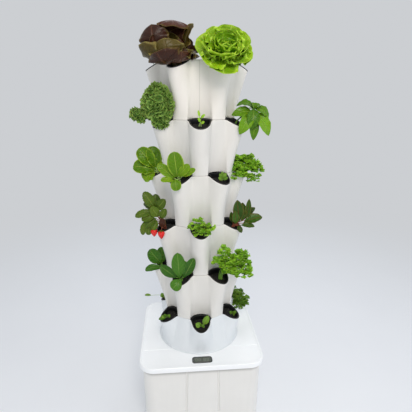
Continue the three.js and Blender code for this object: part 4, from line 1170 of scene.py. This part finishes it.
# Young plants that stand out in their cups: leaves as in hand_set
YOUNG = {
    (2, 0): (
        ((-3, 4, 26), (-7, 6, 46), 8), ((2, 4, 22), (14, 8, 34), 9), ((0, 5, 10), (-8, 10, 24), 9),
        ((2, 6, 6), (12, 12, 12), 9),
    ),
    (3, 30): (
        ((2, 6, 6), (-8, 12, 24), 12), ((4, 6, 6), (14, 12, 26), 13), ((4, 8, 4), (20, 16, 12), 12),
        ((0, 8, 4), (-12, 16, 12), 12), ((2, 4, 8), (3, 4, 30), 12),
    ),
    (6, 0): (
        ((8, 4, 8), (26, 0, 40), 24), ((-2, 8, 4), (-20, 14, 20), 22), ((0, 10, 4), (8, 20, 18), 20),
    ),
    (6, -60): (
        ((-6, 6, 4), (-24, 16, 12), 16), ((-4, 6, 4), (-14, 18, 22), 14), ((0, 8, 4), (8, 16, 18), 14),
        ((-8, 10, 2), (-34, 22, 2), 16, ABOVE, 0.1),
    ),
    (1, -90): (
        ((2, 2, 4), (8, 6, 14), 10, ABOVE, 0.1), ((-2, 2, 4), (-6, 8, 14), 10, ABOVE, 0.1),
    ),
    (6, -120): (
        ((-20, 8, 6), (-26, 12, 30), 20), ((-70, 8, 18), (-96, 8, 20), 12, (0, 0.7, 1), 0.12),
        ((-8, 10, 4), (-18, 18, 18), 14),
    ),
    (6, 60): (
        ((2, 6, 4), (-8, 12, 18), 13), ((4, 6, 4), (16, 12, 18), 13), ((4, 8, 2), (10, 18, 8), 12),
    ),
}


def young_plant(root, ring, signed):
    """A young plant: its own leaves where they are listed, or else a tuft of five leaves turned by its
    place."""
    leaves = YOUNG.get((ring, signed))
    if not leaves:
        swing = np.radians(72 * np.arange(5) + 23 * ring + signed)
        reach = 12 + 4 * np.sin(3 * swing)
        base = np.column_stack([3 * np.sin(swing), 3 * np.cos(swing), np.full(5, 7)])
        tip = np.column_stack([reach * np.sin(swing), reach * np.cos(swing), 14 + reach * 0.8])
        leaves = [(low, high, 11, (0, 0.2, 1), 0.1) for low, high in zip(base, tip)]
    looks = dict(cup=0.25, thickness=0.4 * MM, rows=10, columns=7)
    return hand_set(root, leaves, "oval", 10 * ring + signed + 400, 0.9, **looks)


# Tank, lid and display


def grooved_front(side, corner, height, spacing, depth):
    """A rounded square whose front side has two grooves: points stand closer where the grooves are, and move
    back by the root of a raised cosine of the distance from each groove's middle."""
    outline = rounded_square(side, corner, height)
    arc = len(outline) // 4
    reach, inner, outer = side / 2 - corner, (spacing - GROOVE_WIDTH) / 2, (spacing + GROOVE_WIDTH) / 2
    knots = [-reach, -outer, -inner, inner, outer, reach]
    runs = [np.linspace(a, b, n, endpoint=False) for a, b, n in zip(knots[:-1], knots[1:], (4, 12, 6, 12, 4))]
    x = np.concatenate(runs)[1:]
    away = np.minimum(np.abs(x - spacing / 2), np.abs(x + spacing / 2))
    inside = away < GROOVE_WIDTH / 2
    dent = depth * np.clip(np.cos(np.pi * away / GROOVE_WIDTH), 0, 1) ** 0.5 * inside
    front = np.column_stack([x, -side / 2 + dent, np.full(len(x), height)])
    return np.concatenate([outline[: 3 * arc], front, outline[3 * arc :]])


def tank_rings():
    """The tank: rings from the middle of its foot up its drafted wall, round the rim under the lid, and down
    inside."""
    rings = []
    top = TANK_TOP - TANK_RIM_HEIGHT
    for share, height, depth in ((0.75, 0.0, 0.0), (0.985, 0.0, 0.0), (1.0, 2.5 * MM, GROOVE_DEPTH)):
        side, corner, spacing = TANK_FOOT_SIDE * share, TANK_CORNER * share, GROOVE_FOOT_SPACING * share
        rings.append(grooved_front(side, corner, height, spacing, depth))
    for share in np.linspace(0.06, 1, 16):
        side = TANK_FOOT_SIDE + (TANK_TOP_SIDE - TANK_FOOT_SIDE) * share
        spacing = GROOVE_FOOT_SPACING + (GROOVE_TOP_SPACING - GROOVE_FOOT_SPACING) * share
        depth = GROOVE_DEPTH * min(1.0, (1 - share) * 12)
        rings.append(grooved_front(side, TANK_CORNER, top * share, spacing, depth))
    rim_side, rim_corner = TANK_TOP_SIDE + 2 * TANK_RIM_WIDTH, TANK_CORNER + TANK_RIM_WIDTH
    inner_side, inner_corner = TANK_TOP_SIDE - 2 * TANK_WALL, TANK_CORNER - TANK_WALL
    floor_side = TANK_FOOT_SIDE - 2 * TANK_WALL
    bend, fillet = 1.0 * MM, 6 * MM
    for side, corner, height in (
        (rim_side - 2 * bend, rim_corner - bend, top),
        (rim_side, rim_corner, top + bend),
        (rim_side, rim_corner, TANK_TOP - bend),
        (rim_side - 2 * bend, rim_corner - bend, TANK_TOP),
        (inner_side + 2 * bend, inner_corner + bend, TANK_TOP),
        (inner_side, inner_corner, TANK_TOP - bend),
        (floor_side, inner_corner, TANK_WALL + fillet),
        (floor_side - 2 * fillet, inner_corner - fillet, TANK_WALL),
    ):
        rings.append(grooved_front(side, corner, height, GROOVE_TOP_SPACING, 0))
    return np.stack(rings)


def square_to_circle(share, radius, height, like):
    """A ring of the lid's field: a share of the way from its rounded square outline to the riser hole's
    circle."""
    bearing = np.arctan2(like[:, 1], like[:, 0])
    circle = np.column_stack([radius * np.cos(bearing), radius * np.sin(bearing)])
    plan = like[:, :2] + (circle - like[:, :2]) * share
    return np.column_stack([plan, np.full(len(plan), height)])


def lid_rings():
    """The lid: rings from under its plate down inside the skirt, round its foot, up the side, over a quarter
    circle and the raised lip, down a cosine to the field, and in to the riser hole."""

    def square(inset, height):
        """The lid's outline drawn in by an inset."""
        return rounded_square(LID_SIDE - 2 * inset, LID_CORNER - inset, height, 12)

    lip_top = LID_FIELD + LID_LIP_HEIGHT
    foot = lip_top - LID_SKIRT
    shoulder, slope = 4 * MM, 3.5 * MM
    rings = [
        square(LID_WALL, LID_FIELD - LID_PLATE), square(LID_WALL, foot + 0.6 * MM),
        square(LID_WALL - 0.6 * MM, foot), square(1.0 * MM, foot),
        square(0.0, foot + 1.0 * MM), square(0.0, foot + 6 * MM),
    ]
    for angle in np.linspace(0, np.pi / 2, 7):
        height = lip_top - shoulder + shoulder * math.sin(angle)
        rings.append(square(shoulder * (1 - math.cos(angle)), height))
    for share in np.linspace(0, 1, 6)[1:]:
        drop = LID_LIP_HEIGHT * (1 - math.cos(math.pi * share)) / 2
        rings.append(square(LID_LIP_WIDTH - slope + slope * share, lip_top - drop))
    edge = square(LID_LIP_WIDTH, LID_FIELD)
    for share in (0.1, 0.25, 0.5, 0.75, 0.95, 1.0):
        rings.append(square_to_circle(share, LID_HOLE, LID_FIELD, edge))
    underside = LID_FIELD - LID_PLATE
    inner_edge = square(LID_WALL, underside)
    rings += [square_to_circle(share, LID_HOLE, underside, inner_edge) for share in (1.0, 0.5)]
    return np.stack(rings)


def cut(piece, cutters):
    """Cuts closed bodies out of a piece with boolean modifiers, applied in turn, and deletes the cutters."""
    for points, faces in cutters:
        mesh = bpy.data.meshes.new("cutter")
        blocks = outward(points, faces)
        mesh.from_pydata(points.tolist(), [], [face for block in blocks for face in block.tolist()])
        cutter = bpy.data.objects.new("cutter", mesh)
        bpy.context.scene.collection.objects.link(cutter)
        modifier = piece.modifiers.new("cut", "BOOLEAN")
        modifier.object = cutter
        modifier.operation = "DIFFERENCE"
        modifier.solver = "EXACT"
        depsgraph = bpy.context.evaluated_depsgraph_get()
        result = bpy.data.meshes.new_from_object(piece.evaluated_get(depsgraph))
        piece.modifiers.clear()
        piece.data = result
        bpy.data.objects.remove(cutter)
    piece.data.shade_smooth()
    piece.data.set_sharp_from_angle(angle=math.radians(25))


def rounded_slab(width, depth, corner, foot, top, centre_y, round_top, arc=8):
    """A slab with a rounded rectangular outline and a soft top edge: rings of the outline drawn in over the
    edge along a quarter circle."""
    levels = [(0, foot), (0, top - round_top)]
    for angle in np.linspace(0, np.pi / 2, 5)[1:]:
        levels.append((round_top * (1 - math.cos(angle)), top - round_top + round_top * math.sin(angle)))
    swing = np.linspace(0, np.pi / 2, arc + 1)
    rings = []
    for inset, height in levels:
        radius = max(corner - inset, 0.2 * MM)
        outline = []
        for k, (right, rear) in enumerate(((1, 1), (-1, 1), (-1, -1), (1, -1))):
            turn = swing + k * np.pi / 2
            x = right * (width / 2 - corner) + radius * np.cos(turn)
            y = rear * (depth / 2 - corner) + radius * np.sin(turn) + centre_y
            outline.append(np.column_stack([x, y, np.full(arc + 1, height)]))
        rings.append(np.concatenate(outline))
    return np.stack(rings)


def display_parts():
    """The display's frame, its window, and the faint segments of four blank numerals on the window."""
    low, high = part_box("display_bezel")
    width, depth, centre_y = high.x - low.x, high.y - low.y, (high.y + low.y) / 2
    outer = rounded_slab(width, depth, DISPLAY_CORNER, low.z, high.z, centre_y, DISPLAY_ROUND)
    width, depth = width - 2 * DISPLAY_BORDER, depth - 2 * DISPLAY_BORDER
    corner = DISPLAY_CORNER - DISPLAY_BORDER
    inner = rounded_slab(width, depth, corner, low.z, high.z - 0.5 * MM, centre_y, WINDOW_ROUND)
    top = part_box("display_window")[1].z
    width, depth, corner = width - 2 * WINDOW_GAP, depth - 2 * WINDOW_GAP, corner - WINDOW_GAP
    window = rounded_slab(width, depth, corner, low.z, top, centre_y, WINDOW_ROUND)
    marks = []
    for place in DIGIT_PLACES:
        for right, rear in ((0, 1), (0, 0), (0, -1), (-1, 0.5), (1, 0.5), (-1, -0.5), (1, -0.5)):
            size = (DIGIT_WIDTH - DIGIT_LINE, DIGIT_LINE)
            if right:
                size = (DIGIT_LINE, DIGIT_HEIGHT / 2 - DIGIT_LINE)
            bar = rounded_slab(*size, DIGIT_LINE * 0.45, top - 0.05 * MM, top + 0.08 * MM, 0, 0.03 * MM, 3)
            shift = [place + right * DIGIT_WIDTH / 2, centre_y + rear * DIGIT_HEIGHT / 2, 0]
            marks.append(solid(bar + shift))
    return solid(np.concatenate([outer, inner[[1, 0]]]), True), solid(window), marks


# Driving heights from the frame

RIM = {ring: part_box(f"tier_{ring}")[1].z for ring in range(1, TIERS + 1)}
TANK_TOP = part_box("tank")[1].z
LID_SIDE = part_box("lid")[1].x * 2
LID_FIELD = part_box("lid")[1].z - LID_LIP_HEIGHT
FILL_Y = (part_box("fill_cap")[0].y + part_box("fill_cap")[1].y) / 2
SLEEVE_LOW, SLEEVE_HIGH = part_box("cable_grommet")
SLEEVE_PLACE = (0, (SLEEVE_LOW.y + SLEEVE_HIGH.y) / 2, (SLEEVE_LOW.z + SLEEVE_HIGH.z) / 2)


def drill(radius, centre, along="Z"):
    """A round cutter that goes through a wall about a centre."""
    return skin(lathe([(radius, -CUTTER_REACH), (radius, CUTTER_REACH)], 48, centre, along))


def turned(points, radius, height):
    """Profile points in millimetres, measured from a radius and a height."""
    return np.array(points) * MM + [radius, height]


def build_tank():
    """The tank, with a hole for the cable's sleeve."""
    tank = make_piece("tank_shell", [solid(tank_rings())], [WHITE_TANK], "tank", "tank", 30)
    cut(tank, [drill(CABLE_HOLE, SLEEVE_PLACE, "Y")])


def build_lid():
    """The lid, with holes for the fill plug and the display, and two shallow seams beside the tower's
    foot."""
    lid = make_piece("lid_shell", [solid(lid_rings(), True)], [WHITE_LID], "lid", "lid", 30)
    low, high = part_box("display_bezel")
    width, depth = high.x - low.x + 2 * DISPLAY_CLEAR, high.y - low.y + 2 * DISPLAY_CLEAR
    foot, top, middle = low.z - DISPLAY_SINK, LID_FIELD + CUTTER_RISE, (high.y + low.y) / 2
    recess = rounded_slab(width, depth, DISPLAY_CORNER + DISPLAY_CLEAR, foot, top, middle, 1 * MM)
    cutters = [drill(FILL_HOLE, (0, FILL_Y, LID_FIELD)), skin(recess)]
    section = np.array([(-1, 0.5), (-1, 0.0), (0, -1), (1, 0.0), (1, 0.5)])
    section = section * [LID_SEAM_WIDTH / 2, LID_SEAM_DEPTH]
    for side in (-1, 1):
        ends = np.array([0.36, 1.0]) * side * (LID_SIDE / 2 - LID_LIP_WIDTH - LID_SEAM_END)
        rings = [np.column_stack([np.full(5, x), section + [LID_SEAM_Y, LID_FIELD]]) for x in ends]
        cutters.append(skin(np.stack(rings)))
    cut(lid, cutters)
    frame_part, window, marks = display_parts()
    make_piece("display_frame", [frame_part], [DISPLAY_FRAME], "lid", "display_bezel")
    make_piece("display_glass", [window], [DISPLAY_GLASS], "lid", "display_window")
    make_piece("display_segments", marks, [DISPLAY_MARK], "lid", None)


def build_fill_plug():
    """The plug over the opening for filling: a turned stem and head, with a grip across its top."""
    low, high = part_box("fill_cap")
    seat, radius = LID_FIELD + SEAT_GAP, (high.x - low.x) / 2
    stem, head = turned(PLUG_STEM, 0, low.z), turned(PLUG_EDGE, radius, seat)
    profile = [(PLUG_CORE, low.z), *stem, (PLUG_SHOULDER, seat), *head, (PLUG_CORE, seat + PLUG_HEIGHT)]
    width, depth, corner = PLUG_GRIP
    grip = rounded_slab(width, depth, corner, seat + PLUG_GRIP_FOOT, high.z, FILL_Y, PLUG_GRIP_ROUND)
    parts = [solid(lathe(profile, 64, (0, FILL_Y, 0))), solid(grip)]
    make_piece("fill_plug", parts, [WHITE_LID], "fill_cap", "fill_cap")


def build_water_parts():
    """The cable's sleeve, the riser's two pipes with their coupling, the spray head, and the pump's
    finishes."""
    half = turned(SLEEVE_HALF, 0, 0)
    sleeve = solid(lathe(np.concatenate([half[::-1] * [1, -1], half]), 48, SLEEVE_PLACE, "Y"), True)
    make_piece("cable_sleeve", [sleeve], [GROMMET_RUBBER], "tank", "cable_grommet")
    for node in ("riser_lower", "riser_upper", "riser_coupling"):
        low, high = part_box(node)
        outer, edge = (high.x - low.x) / 2, PIPE_EDGE
        inner = COUPLING_BORE if node == "riser_coupling" else PIPE_BORE
        profile = [(inner, low.z), (outer - edge, low.z), (outer, low.z + edge)]
        profile += [(outer, high.z - edge), (outer - edge, high.z), (inner, high.z)]
        pipe = solid(lathe(profile, 48), True)
        make_piece(node.replace("riser", "pipe"), [pipe], [PIPE_PLASTIC], "tank", node)
    low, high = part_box("spray_cap")
    profile = np.concatenate([turned(SPRAY_SOCKET, 0, low.z), turned(SPRAY_DOME, 0, high.z)])
    make_piece("spray_head", [solid(lathe(profile, 64))], [PIPE_PLASTIC], "spray_cap", "spray_cap")
    for node in ("display_module", "pump_body", "impeller", "pump_strainer"):
        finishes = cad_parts[node].data.materials
        finishes.clear()
        finishes.append(PIPE_PLASTIC if node == "impeller" else BLACK_PLASTIC)


def build_cup(ring, degrees):
    """A cup in its pocket, with its growing medium and its plant."""
    bearing, body = math.radians(degrees), f"cup_{ring}_{degrees}"
    cup = solid(cup_rings(bearing, RIM[ring]))
    make_piece(f"net_{body}", [cup], [CUP_BLACK], body, body, 50)
    medium = solid(medium_rings(bearing, RIM[ring], RNG.uniform(0, 6)))
    make_piece(f"medium_{ring}_{degrees}", [medium], [COIR], body, None, 60)
    signed = degrees if degrees <= 180 else degrees - 360
    root = pocket_points(PLANT_RADIUS, 0.0, bearing, RIM[ring] - MEDIUM_DROP)
    if (ring, signed) in PLANTS:
        grow, materials = PLANTS[(ring, signed)]
        make_piece(grow.__name__, grow(root), materials, body, None, 60)
    else:
        leaves = LEAF["coriander_leaf" if (ring, signed) == PALEST else "young_leaf"]
        seedling = young_plant(root, ring, signed)
        make_piece(f"seedling_{ring}_{degrees}", seedling, [leaves, PALE_STEM], body, None, 60)


def build_tiers():
    """The six tiers with their cups."""
    for ring in range(1, TIERS + 1):
        name = f"tier_{ring}"
        parts = base_tier() if ring == TIERS else upper_tier(ring)
        material = {1: WHITE_TOP, TIERS: WHITE_BASE}.get(ring, WHITE_TIER)
        make_piece(f"tier_shell_{ring}", parts, [material], name, name, 40)
        for k in range(POCKETS):
            build_cup(ring, (30 if ring % 2 else 0) + 60 * k)


def build_floor():
    """A pale painted floor. Beyond the lit ground it takes the backdrop's own glow, so that no horizon
    shows."""
    material, tree = start_material("pale_painted_floor", 0.7, 1.45)
    place = add(tree, "TexCoord", out="Object")
    cloud = add(tree, "TexNoise", {"Vector": place, "Scale": 1 / (400 * MM), "Detail": 3})
    colour = add(tree, "Mix", {0: cloud, 6: "#eceff4", 7: "#f1f4f8"}, 2, **COLOURS)
    finish_material(material, Base_Color=colour)
    away = add(tree, "VectorMath", [place], "Value", operation="LENGTH")
    share = add(tree, "MapRange", [away, *FLOOR_FADE], **SMOOTH)
    far = add(tree, "Emission", {"Color": BACKDROP, "Strength": BACKDROP_GLOW})
    fade = add(tree, "MixShader", [share, tree.nodes["Principled BSDF"].outputs[0], far])
    tree.links.new(fade, tree.nodes["Material Output"].inputs["Surface"])
    mesh = bpy.data.meshes.new("floor")
    corners = [(FLOOR_REACH * x, FLOOR_REACH * y, 0) for x, y in ((-1, -1), (1, -1), (1, 1), (-1, 1))]
    mesh.from_pydata(corners, [], [(0, 1, 2, 3)])
    mesh.materials.append(material)
    floor = bpy.data.objects.new("floor", mesh)
    bpy.context.scene.collection.objects.link(floor)


def build_stage():
    """The backdrop, soft lights turned towards their aims, and the camera at the photograph's angle."""
    world = bpy.data.worlds.new("studio")
    bpy.context.scene.world = world
    world.use_nodes = True
    backdrop = world.node_tree.nodes["Background"].inputs
    backdrop["Color"].default_value = hex_colour(BACKDROP)
    backdrop["Strength"].default_value = BACKDROP_GLOW
    for name, place, aim, size, power, colour in LIGHTS:
        data = bpy.data.lights.new(name, "AREA")
        data.size, data.energy, data.color = size, power, hex_colour(colour)[:3]
        light = bpy.data.objects.new(name, data)
        light.location = place
        x, y, z = np.array(place) - np.array(aim)
        light.rotation_euler = (math.atan2(math.hypot(x, y), z), 0, math.atan2(x, -y))
        bpy.context.scene.collection.objects.link(light)
    lens = bpy.data.cameras.new("camera")
    lens.lens, lens.sensor_width = LENS, SENSOR
    camera = bpy.data.objects.new("camera", lens)
    camera.location = CAMERA_PLACE
    camera.rotation_euler = (CAMERA_TILT, 0, CAMERA_TURN)
    bpy.context.scene.collection.objects.link(camera)
    bpy.context.scene.camera = camera
    bpy.context.scene.view_settings.view_transform = "Standard"


build_floor()
build_stage()
build_tank()
build_lid()
build_fill_plug()
build_water_parts()
build_tiers()
